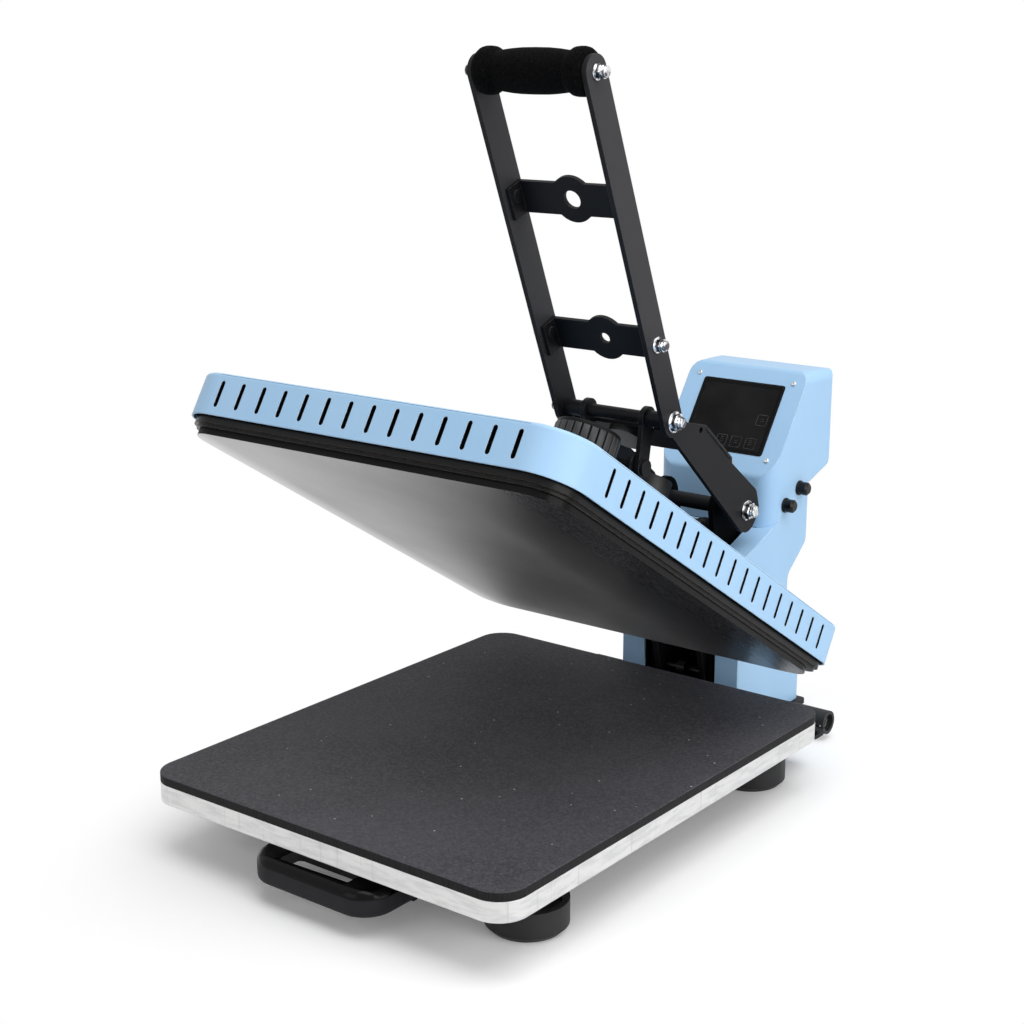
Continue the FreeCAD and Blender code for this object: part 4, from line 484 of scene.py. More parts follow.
nylon, tree, shader = material("glossy_nylon", 0.22, specular=0.12)
grain = grain_in(tree, 900.0, 25.0)
edges = place_effect(tree, worn_and_lit_edge, Radius=0.0015)
upward = levels(tree, facing_along(tree, "Z"), 0.0, 1.0, 0.05, 0.20)
dress(shader, Base_Color=over(tree, upward, NYLON_FACE, NYLON_BLACK),
      Roughness=levels(tree, upward, 0.55, 0.09),
      Normal=relief(tree, grain["Height"], 0.3, 0.00008, edges["Normal"]))

loop = start_block("pull_loop", (-LOOP_HALF, LOOP_FRONT, LOOP_LOW), (LOOP_HALF, LOOP_REAR, LOOP_HIGH))
pick(loop, "edges", lambda edge: upright(edge) and edge.verts[0].co.y < LOOP_REAR - NEAR)
round_off(LOOP_CORNER, 12)
for level, width, flats in ((LOOP_HIGH, LOOP_TOP_ROUND, 6), (LOOP_LOW, LOOP_FOOT_ROUND, 4)):
    pick(loop, "edges", lambda edge: all(abs(vert.co.z - level) < NEAR for vert in edge.verts)
         and not all(vert.co.y > LOOP_REAR - NEAR for vert in edge.verts))
    round_off(width, flats)
leave_edit()
hole = start_block("finger_hole", (-HOLE_HALF, HOLE_FRONT, LOOP_LOW - OVERCUT),
                   (HOLE_HALF, HOLE_REAR, LOOP_HIGH + OVERCUT))
pick(hole, "verts", lambda vert: vert.co.z < LOOP_LOW and vert.co.y > HOLE_REAR - NEAR)
bpy.ops.transform.translate(value=(0.0, HOLE_SPREAD, 0.0))
pick(hole, "verts", lambda vert: vert.co.z < LOOP_LOW)
bpy.ops.transform.resize(value=(HOLE_FLARE, 1.0, 1.0), center_override=(0.0, HOLE_FRONT, LOOP_LOW))
pick(hole, "edges", lambda edge: (edge.verts[0].co.z < LOOP_LOW) != (edge.verts[1].co.z < LOOP_LOW))
round_off(HOLE_CORNER, 4)
carve(loop, hole)
pick_edges(loop, lambda spot: spot.z > LOOP_HIGH - NEAR and abs(spot.x) < HOLE_HALF + 10 * NEAR
           and HOLE_FRONT - 10 * NEAR < spot.y < HOLE_REAR + OVERCUT)
round_off(HOLE_ROUND, 3)
finish_piece(loop, nylon, "drawer", smooth=40.0)
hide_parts("pull_handle")

# Lower plate.
# 18 mm cast aluminium plate, milled all round. Its rim is handled often, so it is wiped grey along its
# length and streaked down its height.
CAST_BRIGHT = (0.74, 0.74, 0.735)
CAST_SMUDGE = (0.64, 0.64, 0.645)
CAST_STREAK = (0.40, 0.40, 0.405)

cast, tree, shader = material("milled_aluminium", 0.34, metallic=0.75)
smudge = grain_in(tree, 240.0, 26.0)
edges = place_effect(tree, worn_and_lit_edge, Radius=0.0010)
wiped = shades(tree, lines_across(tree, 38.0, 38.0, 210.0), (0.40, CAST_SMUDGE), (0.56, CAST_BRIGHT))
streaked = levels(tree, lines_across(tree, 190.0, 190.0, 9.0), 0.0, 0.45, 0.60, 0.74)
milling = lines_across(tree, 35.0, 35.0, 2200.0)
dress(shader, Base_Color=over(tree, streaked, wiped, CAST_STREAK),
      Roughness=levels(tree, smudge["Height"], 0.26, 0.46),
      Normal=relief(tree, milling, 0.4, 0.00006, edges["Normal"]))
finish(cast, "aluminium_plate")

# Silicone pad.
# 8 mm sheet of dark silicone rubber, cut with a knife and bonded to the plate. The skin on top is finely
# speckled and lightly scuffed by use. The cut edge is matt, with the knife's upright marks.
PAD_WIDTH = 0.4064
PAD_LENGTH = 0.508
PAD_BOTTOM = 0.072
PAD_TOP = 0.080
PAD_MIDDLE_Y = -0.114
PAD_CORNER = 0.027
PAD_BORDER = 0.004
PAD_EDGE = 0.0007
PAD_SKIN = (0.042, 0.0405, 0.0475)
PAD_SKIN_PALE = (0.060, 0.0585, 0.067)
PAD_MOTTLE = (0.108, 0.105, 0.116)
PAD_SPECK = (0.55, 0.55, 0.56)
PAD_CUT = (0.0055, 0.0055, 0.0060)
PAD_CUT_PALE = (0.020, 0.020, 0.022)


def lies_flat(face):
    """True for a face that looks straight up or down."""
    return abs(face.normal.z) > 0.9


def spots(tree, scale, near, far, rare, common, share=1.0):
    """A mask of small round spots, of which only some are bright."""
    cells = add(tree, "ShaderNodeTexVoronoi", {"Vector": object_place(tree), "Scale": scale})
    luck = add(tree, "ShaderNodeSeparateColor", {"Color": cells.outputs["Color"]}).outputs["Red"]
    return sums(tree, "MULTIPLY", levels(tree, cells.outputs["Distance"], 1.0, 0.0, near, far),
                levels(tree, luck, 0.0, share, rare, common))


pad = start_block("silicone_sheet", (-PAD_WIDTH / 2, PAD_MIDDLE_Y - PAD_LENGTH / 2, PAD_BOTTOM),
                  (PAD_WIDTH / 2, PAD_MIDDLE_Y + PAD_LENGTH / 2, PAD_TOP))
pick(pad, "edges", upright)
round_off(PAD_CORNER, 14)
pick(pad, "faces", lies_flat)
bpy.ops.mesh.inset(thickness=PAD_BORDER)
pick(pad, "edges", lambda edge: all(abs(vert.co.z - PAD_TOP) < NEAR for vert in edge.verts)
     and not all(lies_flat(face) for face in edge.link_faces))
round_off(PAD_EDGE, 3)

pad_rubber, tree, shader = material("silicone_skin", 0.62, specular=0.16)
on_edge = levels(tree, facing_along(tree, "Z"), 1.0, 0.0, 0.30, 0.55)
grain = grain_in(tree, 1500.0, 9.0)
mottled = levels(tree, noise(tree, 380.0, Detail=2.0, Roughness=0.8), 0.0, 0.75, 0.40, 0.68)
scuffed = levels(tree, lines_across(tree, 260.0, 9.0, 1.0), 0.0, 0.10, 0.72, 0.80)
cuts = lines_across(tree, 900.0, 900.0, 40.0)
skin = shades(tree, grain["Shade"], (0.35, PAD_SKIN), (0.65, PAD_SKIN_PALE))
skin = over(tree, mottled, skin, PAD_MOTTLE)
skin = over(tree, spots(tree, 85.0, 0.050, 0.095, 0.45, 0.95), skin, PAD_SPECK)
skin = over(tree, scuffed, skin, PAD_SPECK)
cut_face = shades(tree, cuts, (0.35, PAD_CUT), (0.75, PAD_CUT_PALE))
skin_bump = relief(tree, grain["Height"], 0.5, 0.00010)
dress(shader, Base_Color=over(tree, on_edge, skin, cut_face),
      Roughness=levels(tree, grain["Height"], 0.55, 0.75),
      Normal=relief(tree, sums(tree, "MULTIPLY", cuts, on_edge), 0.8, 0.0003, skin_bump))
finish_piece(pad, pad_rubber, "drawer")
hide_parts("silicone_pad")

# Column cover.
# 2.5 mm folded steel, welded at its seams, ground, and sprayed pale blue. It is screwed over the two black
# uprights, and its mouth is lined with sheet. The liner and the uprights are painted near black and matt:
# painted shade inside the mouth.
BLUE = (0.368, 0.592, 0.842)
BLUE_PALE = (0.392, 0.612, 0.850)
# The pale edge colour is partly scuffing and partly a painted highlight where the edges of the cover, its
# slots and the box catch the light.
BLUE_WORN_AND_HIGHLIGHT = (0.80, 0.90, 0.97)
# Near black and matt: painted shade in the column's mouth, on the strut, inside the cover and in the seam
# under the box.
SHADE_BLACK = (0.0015, 0.0015, 0.0018)
SHADE_PALE = (0.0024, 0.0024, 0.0027)
SHADE_WORN = (0.01, 0.01, 0.01)

blue_coat = coat("blue_powder_coat", BLUE, BLUE_PALE, BLUE_WORN_AND_HIGHLIGHT, roughness=0.42, fineness=1300.0,
                 depth=0.00005, radius=0.0011, specular=0.32, cloud=8.0)
painted_shade_liner = coat("painted_shade_liner", SHADE_BLACK, SHADE_PALE, SHADE_WORN, roughness=0.7, fineness=1500.0,
                  depth=0.00006, specular=0.04)
finish(blue_coat, "column_cover")
finish(painted_shade_liner, "column_liner", "uprights")

# Control box.
# Injection-moulded blue shell that stands on the column. A thin near-black strip along its foot is painted
# shade in the crease where the box meets the steel.
SEAM_FRONT_Y = 0.2524
SEAM_LEAD = 0.0007
SEAM_DEPTH = 0.030
SEAM_LOW = 0.2149
SEAM_HIGH = 0.2162
SEAM_TURN_Z = 0.2156
SEAM_SIDE = 0.0700
SEAM_ROUND = 0.020
SEAM_SLOPE = 20.1
SEAM_BORDER = 0.0006
SEAM_SHADE_PALE = (0.007, 0.007, 0.008)
SEAM_SHADE_WORN = (0.015, 0.015, 0.016)

box_plastic = coat("blue_moulding", BLUE, BLUE_PALE, BLUE_WORN_AND_HIGHLIGHT, roughness=0.40, fineness=1700.0,
                   depth=0.00005, radius=0.0012, specular=0.30, cloud=7.0)
finish(box_plastic, "control_box")
seam_painted_shade = coat("seam_painted_shade", SHADE_BLACK, SEAM_SHADE_PALE, SEAM_SHADE_WORN, roughness=0.7, fineness=1800.0,
                   depth=0.00010, specular=0.2)


def turn(degrees, centre, axis="X"):
    """Turns what is selected in edit mode, counter-clockwise as seen against the axis."""
    bpy.ops.transform.rotate(value=-math.radians(degrees), orient_axis=axis, center_override=centre)


# A thin dark strip at the foot of the box: painted shade in the crease.
seam_strip = start_block("box_seam_shade", (-SEAM_SIDE, SEAM_FRONT_Y - SEAM_LEAD, SEAM_LOW),
                     (SEAM_SIDE, SEAM_FRONT_Y + SEAM_DEPTH, SEAM_HIGH))
pick(seam_strip, "edges", lambda edge: upright(edge) and edge.verts[0].co.y < SEAM_FRONT_Y)
round_off(SEAM_ROUND, 10)
pick(seam_strip, "faces", lies_flat)
bpy.ops.mesh.inset(thickness=SEAM_BORDER)
select_all()
turn(SEAM_SLOPE, (0.0, SEAM_FRONT_Y, SEAM_TURN_Z))
finish_piece(seam_strip, seam_painted_shade, "base")

# Touch screen.
# A glass touch panel, bonded into the leaning face of the box. Its border is printed dark on the back of the
# glass, and faint line symbols sit along the right and lower edges of the picture.
PANEL_FOOT = (0.0, 0.252, 0.271)
PANEL_TILT = 55.0
SCREEN_MIDDLE = 0.06375
SCREEN_FACE = 0.0006
SCREEN_HALF = (0.0488, 0.0403)
SCREEN_CORNER = 0.003
BORDER_WIDTH = 0.0042
BORDER_SINK = 0.0003
BORDER_THICK = 0.00042
SYMBOL_SIZE = 0.0125
SYMBOL_CORNER = 0.0012
SYMBOL_LINE = 0.00035
SYMBOL_THICK = 0.0003
SYMBOL_SINK = 0.0002
SYMBOL_PLACES = ((0.0365, -0.001), (-0.003, -0.029), (0.0145, -0.029), (0.0320, -0.029))
BAR_LENGTH = 0.0048
BAR_SHORTER = 0.0012
BAR_PITCH = 0.0024
BAR_SINK = 0.00005
GLASS_BLACK = (0.0048, 0.0048, 0.0054)
GLASS_HAZE = (0.0120, 0.0120, 0.0126)
BORDER_BLACK = (0.0018, 0.0018, 0.0022)
BORDER_PALE = (0.0028, 0.0028, 0.0032)
SYMBOL_FAINT = (0.030, 0.030, 0.032)
SYMBOL_PALE = (0.085, 0.085, 0.088)

glass, tree, shader = material("screen_glass", 0.12, specular=0.07)
haze = grain_in(tree, 700.0, 22.0)
prints = noise(tree, 45.0, Detail=4.0, Distortion=1.2)
dress(shader, Base_Color=shades(tree, haze["Shade"], (0.35, GLASS_BLACK), (0.70, GLASS_HAZE)),
      Roughness=levels(tree, prints, 0.08, 0.34, 0.45, 0.75),
      Normal=relief(tree, haze["Height"], 0.05, 0.00002))
finish(glass, "touch_screen")

border_print = coat("screen_border", BORDER_BLACK, BORDER_PALE, (0.05, 0.05, 0.05), roughness=0.30,
                    fineness=900.0, depth=0.00003, radius=0.0006, specular=0.08)
symbol_line, tree, shader = material("symbol_line", 0.4, specular=0.3)
haze = grain_in(tree, 900.0, 180.0)
dress(shader, Base_Color=shades(tree, haze["Shade"], (0.40, SYMBOL_FAINT), (0.60, SYMBOL_PALE)))


def lay_on_panel():
    """Moves what is selected from flat on the bench on to the leaning face."""
    turn(PANEL_TILT, (0.0, 0.0, 0.0))
    bpy.ops.transform.translate(value=PANEL_FOOT)


def flat_ring(name, half, line, middle, lift, thick, corner):
    """A flat rectangular ring with rounded outer corners, left in edit mode with its faces selected."""
    made = start_block(name, (middle[0] - half[0], middle[1] - half[1], lift),
                       (middle[0] + half[0], middle[1] + half[1], lift + thick))
    pick(made, "edges", upright)
    round_off(corner, 4)
    pick(made, "faces", lies_flat)
    bpy.ops.mesh.inset(thickness=line)
    inner = (half[0] - line / 2, half[1] - line / 2)
    pick(made, "faces", lambda face: lies_flat(face)
         and all(abs(vert.co.x - middle[0]) < inner[0] for vert in face.verts)
         and all(abs(vert.co.y - middle[1]) < inner[1] for vert in face.verts))
    bpy.ops.mesh.bridge_edge_loops()
    select_all()
    return made


border = flat_ring("screen_border", SCREEN_HALF, BORDER_WIDTH, (0.0, SCREEN_MIDDLE),
                   SCREEN_FACE - BORDER_SINK, BORDER_THICK, SCREEN_CORNER)
lay_on_panel()
finish_piece(border, border_print, "base")

for count, (symbol_x, symbol_y) in enumerate(SYMBOL_PLACES):
    symbol = flat_ring("screen_symbol_%d" % (count + 1), (SYMBOL_SIZE / 2, SYMBOL_SIZE / 2), SYMBOL_LINE,
                       (symbol_x, SCREEN_MIDDLE + symbol_y), SCREEN_FACE - SYMBOL_SINK, SYMBOL_THICK,
                       SYMBOL_CORNER)
    for bar in range(2 + count % 2):
        bar_place = (symbol_x, SCREEN_MIDDLE + symbol_y + (bar - 0.5) * BAR_PITCH, SCREEN_FACE - BAR_SINK)
        bpy.ops.mesh.primitive_cube_add(size=1.0, location=bar_place, scale=(
            BAR_LENGTH - BAR_SHORTER * bar, SYMBOL_LINE, SYMBOL_THICK))
    select_all()
    lay_on_panel()
    finish_piece(symbol, symbol_line, "base")

# Panel screws.
# Four zinc-plated button-head socket screws hold the screen's frame from the front.
SCREW_HEAD = 0.0026
SCREW_RISE = 0.0015
SCREW_SOCKET = 0.0013
SCREW_SOCKET_DEEP = 0.0008
SCREW_ROUND = 0.0008
SCREW_PLACES = ((-0.058, 0.0185), (0.058, 0.0185), (-0.058, 0.109), (0.058, 0.109))


def start_rod(name, centre, radius, length, sides=32, along="Z"):
    """Adds a cylinder, centred and along an axis, and leaves it in edit mode with nothing selected."""
    tilt = {"Z": (0, 0, 0), "X": (0, math.pi / 2, 0)}[along]
    bpy.ops.mesh.primitive_cylinder_add(vertices=sides, radius=radius, depth=length, location=centre,
                                        rotation=tilt)
    return start_editing(name)


def on_top(face):
    """True for a face that looks straight up."""
    return face.normal.z > 0.9


def press_in(border, depth):
    """Insets the selected faces by a border and pushes them down, or up where the depth is below 0."""
    bpy.ops.mesh.inset(thickness=border)
    bpy.ops.mesh.extrude_region_move(TRANSFORM_OT_translate={"value": (0, 0, -depth)})


def join(name, pieces):
    """Joins pieces of one kind into one mesh, and leaves it in edit mode with all of it selected."""
    take_up(*pieces)
    bpy.ops.object.join()
    made = bpy.context.object
    made.name = name
    bpy.ops.object.mode_set(mode="EDIT")
    select_all()
    return made


screws = []
for screw_x, screw_along in SCREW_PLACES:
    screw = start_rod("panel_screw", (screw_x, screw_along, SCREW_RISE / 2), SCREW_HEAD, SCREW_RISE)
    pick(screw, "faces", on_top)
    press_in(SCREW_HEAD - SCREW_SOCKET, SCREW_SOCKET_DEEP)
    pick_edges(screw, lambda spot: abs(spot.z - SCREW_RISE) < NEAR
               and math.hypot(spot.x - screw_x, spot.y - screw_along) > SCREW_HEAD - NEAR)
    round_off(SCREW_ROUND, 3)
    leave_edit()
    screws.append(screw)
screws = join("panel_screw_heads", screws)
lay_on_panel()
finish_piece(screws, zinc, "base")
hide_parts("panel_screws")

# Fuse holders, power inlet and rocker switch.
# Moulded in black nylon. The two fuse caps screw into the right side of the box. The inlet and the mains
# switch clip into its back.
finish(cap_plastic, "fuse_holders", "power_inlet", "rocker_switch")

# Counterweight strut.
# A gas strut inside the column helps the arm up: a cylinder, a rod, and an eye at each end. Its bracket is
# bolted to the base. Bracket, cylinder and rod are painted near black and matt: painted shade inside the
# column.
ROD_SHADE_BRIGHT = (0.020, 0.020, 0.022)
ROD_SHADE_DULL = (0.011, 0.011, 0.012)

shaded_rod = bright_metal("rod_painted_shade", ROD_SHADE_BRIGHT, ROD_SHADE_DULL, roughness=0.28)
finish(painted_shade_liner, "strut_bracket", "strut_cylinder")
finish(shaded_rod, "strut_rod")

# Arm.
# Two laser-cut 6 mm steel side plates tied by welded spacers, with the crosshead, the guide block and the
# magnet's bracket between them, all powder-coated black. Its pins and the pressure screw are blackened steel.
MAGNET_BLACK = (0.006, 0.006, 0.0065)
MAGNET_PALE = (0.010, 0.010, 0.0105)
MAGNET_WORN = (0.05, 0.05, 0.05)
PIN_BRIGHT = (0.030, 0.030, 0.032)
PIN_DULL = (0.018, 0.018, 0.019)

dark_magnet = coat("dark_magnet", MAGNET_BLACK, MAGNET_PALE, MAGNET_WORN, roughness=0.42, fineness=900.0,
                   depth=0.00005, specular=0.4)
dark_steel = bright_metal("blackened_steel", PIN_BRIGHT, PIN_DULL, roughness=0.36)
finish(black_coat, "arm_plates", "arm_ties", "guide_block", "magnet_bracket", "crosshead", "platen_mount")
finish(dark_magnet, "holding_magnet")
finish(dark_steel, "arm_cross_pins", "guide_rod", "pressure_screw", "mount_bolts", "hinge_pin")

# Conduit.
# Corrugated black nylon conduit, 18 mm across its ribs, guides the heater leads up the column and over
# to the arm, where a clamp holds its smooth cuff.
CONDUIT_X = 0.0145
CONDUIT_LOW = (0.238, 0.088)
CONDUIT_CORNER = (0.234, 0.225)
CONDUIT_END = (0.178, 0.217)
CONDUIT_BEND = 0.028
CONDUIT_ROOT = 0.0074
CONDUIT_RIB = 0.0088
CONDUIT_PITCH = 0.0050
CONDUIT_CUFF = 0.018
CUFF_GAP = 0.001
CUFF_ROUND = 0.0008
RIB_THICK = 0.0011
BEND_STEPS = 12
END_STEPS = 6
CONDUIT_BLACK = (0.008, 0.008, 0.009)
CONDUIT_PALE = (0.013, 0.013, 0.014)
CONDUIT_WORN = (0.05, 0.05, 0.052)

conduit_nylon = coat("conduit_nylon", CONDUIT_BLACK, CONDUIT_PALE, CONDUIT_WORN, roughness=0.30,
                     fineness=1500.0, depth=0.00004, radius=0.0004, specular=0.5)
low, corner, end = (Vector((CONDUIT_X, *point)) for point in (CONDUIT_LOW, CONDUIT_CORNER, CONDUIT_END))
back = (low - corner).normalized()
onward = (end - corner).normalized()
half_angle = back.angle(onward) / 2
bend_start = corner + back * (CONDUIT_BEND / math.tan(half_angle))
bend_stop = corner + onward * (CONDUIT_BEND / math.tan(half_angle))
bend_centre = corner + (back + onward).normalized() * (CONDUIT_BEND / math.sin(half_angle))
turned = math.pi - 2 * half_angle
route = [low + (bend_start - low) * (step / BEND_STEPS) for step in range(BEND_STEPS)]
for step in range(BEND_STEPS + 1):
    share = step / BEND_STEPS
    first = bend_start - bend_centre
    last = bend_stop - bend_centre
    route.append(bend_centre + (first * math.sin((1 - share) * turned) + last * math.sin(share * turned))
                 / math.sin(turned))
route += [bend_stop + (end - bend_stop) * (step / END_STEPS) for step in range(1, END_STEPS + 1)]

curve = bpy.data.curves.new("conduit_core", "CURVE")
curve.dimensions = "3D"
curve.bevel_depth = CONDUIT_ROOT
curve.bevel_resolution = 6
curve.use_fill_caps = True
spline = curve.splines.new("POLY")
spline.points.add(len(route) - 1)
for point, spot in zip(spline.points, route):
    point.co = (*spot, 1.0)
core = bpy.data.objects.new("conduit_core", curve)
scene.collection.objects.link(core)
take_up(core)
bpy.ops.object.convert(target="MESH")
core.select_set(False)

run = [0.0]
for before, after in zip(route, route[1:]):
    run.append(run[-1] + (after - before).length)


def along_route(distance):
    """The point at a distance along the conduit, and a turn that lays Z along it there."""
    for count in range(len(route) - 1):
        if distance <= run[count + 1] or count == len(route) - 2:
            way = (route[count + 1] - route[count]).normalized()
            return route[count] + way * (distance - run[count]), way.to_track_quat("Z", "X").to_euler()


rings = [core]
rib_count = int((run[-1] - 2 * CONDUIT_CUFF) / CONDUIT_PITCH)
first_rib = (run[-1] - (rib_count - 1) * CONDUIT_PITCH) / 2
for count in range(rib_count):
    spot, lean = along_route(first_rib + count * CONDUIT_PITCH)
    bpy.ops.mesh.primitive_torus_add(major_radius=CONDUIT_RIB - RIB_THICK, minor_radius=RIB_THICK,
                                     major_segments=28, minor_segments=8, location=spot, rotation=lean)
    apply_place()
    rings.append(bpy.context.object)
for distance in (CONDUIT_CUFF / 2, run[-1] - CONDUIT_CUFF / 2):
    cuff = start_rod("conduit_cuff", (0, 0, 0), CONDUIT_RIB, CONDUIT_CUFF - CUFF_GAP)
    pick(cuff, "edges", lambda edge: not upright(edge))
    round_off(CUFF_ROUND, 3)
    leave_edit()
    cuff.location, cuff.rotation_euler = along_route(distance)
    apply_place()
    rings.append(cuff)
ribbed = join("ribbed_conduit", rings)
finish_piece(ribbed, conduit_nylon, "arm")
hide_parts("conduit")

# Pressure knob.
# A black phenolic hand wheel on top of the pressure screw, with moulded finger grooves and a matt top. It is
# shaped level and then turned back with the arm to where the press stands open.
KNOB_BLACK = (0.0085, 0.0085, 0.009)
KNOB_PALE = (0.014, 0.014, 0.015)
KNOB_WORN = (0.06, 0.06, 0.062)
CORE_BLACK = (0.0022, 0.0022, 0.0026)
CORE_PALE = (0.0036, 0.0036, 0.0040)
CORE_WORN = (0.03, 0.03, 0.032)
KNOB_CENTRE_Y = -0.067
KNOB_LOW = 0.2072
KNOB_HIGH = 0.2302
KNOB_OUTER = 0.03270
KNOB_DRUM = 0.0298
KNOB_RIBS = 24
RIM_OUTER = 0.0319
RIM_WIDTH = 0.0060
RIM_ROUND = 0.0015
DISH_BORDER = 0.0045
DISH_DEEP = 0.0016
BOSS_BORDER = 0.0120
BOSS_RISE = 0.0010
RIB_WIDTH = 0.0070
RIB_LOW = 0.2084
RIB_HIGH = 0.2262
RIB_ROUND = 0.0006
RIB_ROOT = 0.0010
OPEN_ANGLE = 31.7
HINGE = (0.0, 0.195, 0.133)

knob_plastic = coat("phenolic", KNOB_BLACK, KNOB_PALE, KNOB_WORN, roughness=0.42, fineness=1500.0,
                    depth=0.00010, radius=0.0010, specular=0.45, cloud=40.0)
knob_core = coat("phenolic_core", CORE_BLACK, CORE_PALE, CORE_WORN, roughness=0.45, fineness=1500.0,
                 depth=0.00006, specular=0.12)


def twin(piece, name, move):
    """A copy of a piece with its own mesh, moved."""
    made = piece.copy()
    made.name = name
    made.data = piece.data.copy()
    made.data.transform(move)
    scene.collection.objects.link(made)
    return made


drum = start_rod("knob_drum", (0.0, KNOB_CENTRE_Y, (KNOB_LOW + KNOB_HIGH) / 2), KNOB_DRUM,
                 KNOB_HIGH - KNOB_LOW, sides=72)
pick(drum, "faces", on_top)
press_in(DISH_BORDER, DISH_DEEP)
press_in(BOSS_BORDER, -BOSS_RISE)
leave_edit()
rim = start_rod("knob_rim", (0.0, KNOB_CENTRE_Y, (RIB_HIGH + KNOB_HIGH) / 2), RIM_OUTER,
                KNOB_HIGH - RIB_HIGH, sides=72)
pick(rim, "faces", lies_flat)
bpy.ops.mesh.inset(thickness=RIM_WIDTH)
pick(rim, "faces", lambda face: lies_flat(face) and len(face.verts) > 4)
bpy.ops.mesh.bridge_edge_loops()
pick_edges(rim, lambda spot: spot.z > KNOB_HIGH - NEAR
           and math.hypot(spot.x, spot.y - KNOB_CENTRE_Y) > RIM_OUTER - RIM_WIDTH / 2)
round_off(RIM_ROUND, 4)
leave_edit()
wheel = join("knob_wheel", [drum, rim])
turn(-OPEN_ANGLE, HINGE)
finish_piece(wheel, knob_core, "screw")
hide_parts("pressure_knob")

rib = start_block("knob_rib", (-RIB_WIDTH / 2, KNOB_CENTRE_Y - KNOB_OUTER, RIB_LOW),
                  (RIB_WIDTH / 2, KNOB_CENTRE_Y - KNOB_DRUM + RIB_ROOT, RIB_HIGH))
pick_edges(rib, lambda spot: spot.y < KNOB_CENTRE_Y - KNOB_DRUM)
round_off(RIB_ROUND, 2)
leave_edit()
hub = Matrix.Translation((0.0, KNOB_CENTRE_Y, 0.0))
spins = [Matrix.Rotation(2 * math.pi * count / KNOB_RIBS, 4, "Z") for count in range(1, KNOB_RIBS)]
ribs = join("knob_ribs", [rib] + [twin(rib, "knob_rib", hub @ spin @ hub.inverted()) for spin in spins])
turn(-OPEN_ANGLE, HINGE)
finish_piece(ribs, knob_plastic, "screw")

# Heat plate.
# Cast aluminium with the heater inside. Its face is ground along its length. A painted highlight brightens a
# strip at the left end, painted shade darkens the face towards the right one, where it is also less rough.
# Its narrow side is black.
PLATE_BRIGHT = (0.56, 0.56, 0.563)
PLATE_GREY = (0.47, 0.47, 0.473)
PLATE_PAINTED_SHADE = (0.30, 0.30, 0.303)
PLATE_LINES_AND_HIGHLIGHT = (0.82, 0.82, 0.82)
PLATE_SIDE = (0.0025, 0.0025, 0.0030)
PLATE_HALF = 0.200
HIGHLIGHT_WIDTH = 0.030
SHADE_FROM = 0.060
SHADE_TO = 0.160


def place_along(tree, axis):
    """The X, Y or Z of each point of a piece, in metres."""
    return add(tree, "ShaderNodeSeparateXYZ", {0: object_place(tree)}).outputs[axis]


cosine = math.cos(math.radians(OPEN_ANGLE))
sine = math.sin(math.radians(OPEN_ANGLE))
ground, tree, shader = material("ground_heat_plate", 0.40, metallic=1.0, specular=0.1)
normal = add(tree, "ShaderNodeNewGeometry").outputs["Normal"]
on_face = levels(tree, vector_sums(tree, "DOT_PRODUCT", normal, (0.0, -sine, -cosine))["Value"],
                 0.0, 1.0, 0.55, 0.80)
lines = lines_across(tree, 900.0, 22.0, 22.0)
heat = grain_in(tree, 420.0, 7.0)
across = place_along(tree, "X")
tone = shades(tree, heat["Shade"], (0.32, PLATE_GREY), (0.68, PLATE_BRIGHT))
# Painted shade: the face darkens towards its right end, standing in for a dark reflection.
tone = over(tree, levels(tree, across, 0.0, 1.0, SHADE_FROM, SHADE_TO), tone, PLATE_PAINTED_SHADE)
tone = over(tree, levels(tree, lines, 0.0, 0.22, 0.50, 0.70), tone, PLATE_LINES_AND_HIGHLIGHT)
# Painted highlight: a pale strip along the left end, standing in for a bright reflection.
tone = over(tree, levels(tree, across, 1.0, 0.0, -PLATE_HALF, -PLATE_HALF + HIGHLIGHT_WIDTH), tone, PLATE_LINES_AND_HIGHLIGHT)
rubbed = levels(tree, across, 0.27, 0.0, SHADE_FROM, SHADE_TO)
dress(shader, Base_Color=over(tree, on_face, PLATE_SIDE, tone), Metallic=on_face,
      Roughness=sums(tree, "ADD", rubbed, levels(tree, lines, 0.18, 0.34)),
      Normal=relief(tree, lines, 0.35, 0.00005))
finish(ground, "heat_plate")

# Heater tray and platen cover.
# The tray is folded steel in two steps, sprayed black, and closes the cover from below. The slotted cover
# over it is folded from 1.6 mm steel, welded at the corners and sprayed pale blue. Its inside and the walls
# of
# its slots are near black: painted shade.
TRAY_BLACK = (0.0022, 0.0022, 0.0027)
TRAY_PALE = (0.0038, 0.0038, 0.0044)
TRAY_WORN = (0.075, 0.062, 0.052)
SLOT_DEPTH = 0.00030
COVER_HALF = 0.210
COVER_FRONT = -0.376
COVER_REAR = 0.150
COVER_CORNER_FRONT = 0.042
COVER_CORNER_REAR = 0.027
SLOT_BAND = (0.0975, 0.1330)

tray_coat = coat("tray_black", TRAY_BLACK, TRAY_PALE, TRAY_WORN, roughness=0.30, fineness=1600.0,
                 depth=0.00003, radius=0.0014, specular=0.16)
finish(tray_coat, "heater_tray")
finish(painted_shade_liner, "backing_plate")


def between(tree, value, low, high):
    """1 where a value lies between two limits."""
    above = sums(tree, "GREATER_THAN", value, low)
    return sums(tree, "MULTIPLY", above, sums(tree, "LESS_THAN", value, high))


def recoat(paint, name):
    """A copy of a paint, with its nodes, its shader and the colour that feeds it."""
    made = paint.copy()
    made.name = name
    shader = made.node_tree.nodes["Principled BSDF"]
    return made, made.node_tree, shader, shader.inputs["Base Color"].links[0].from_socket


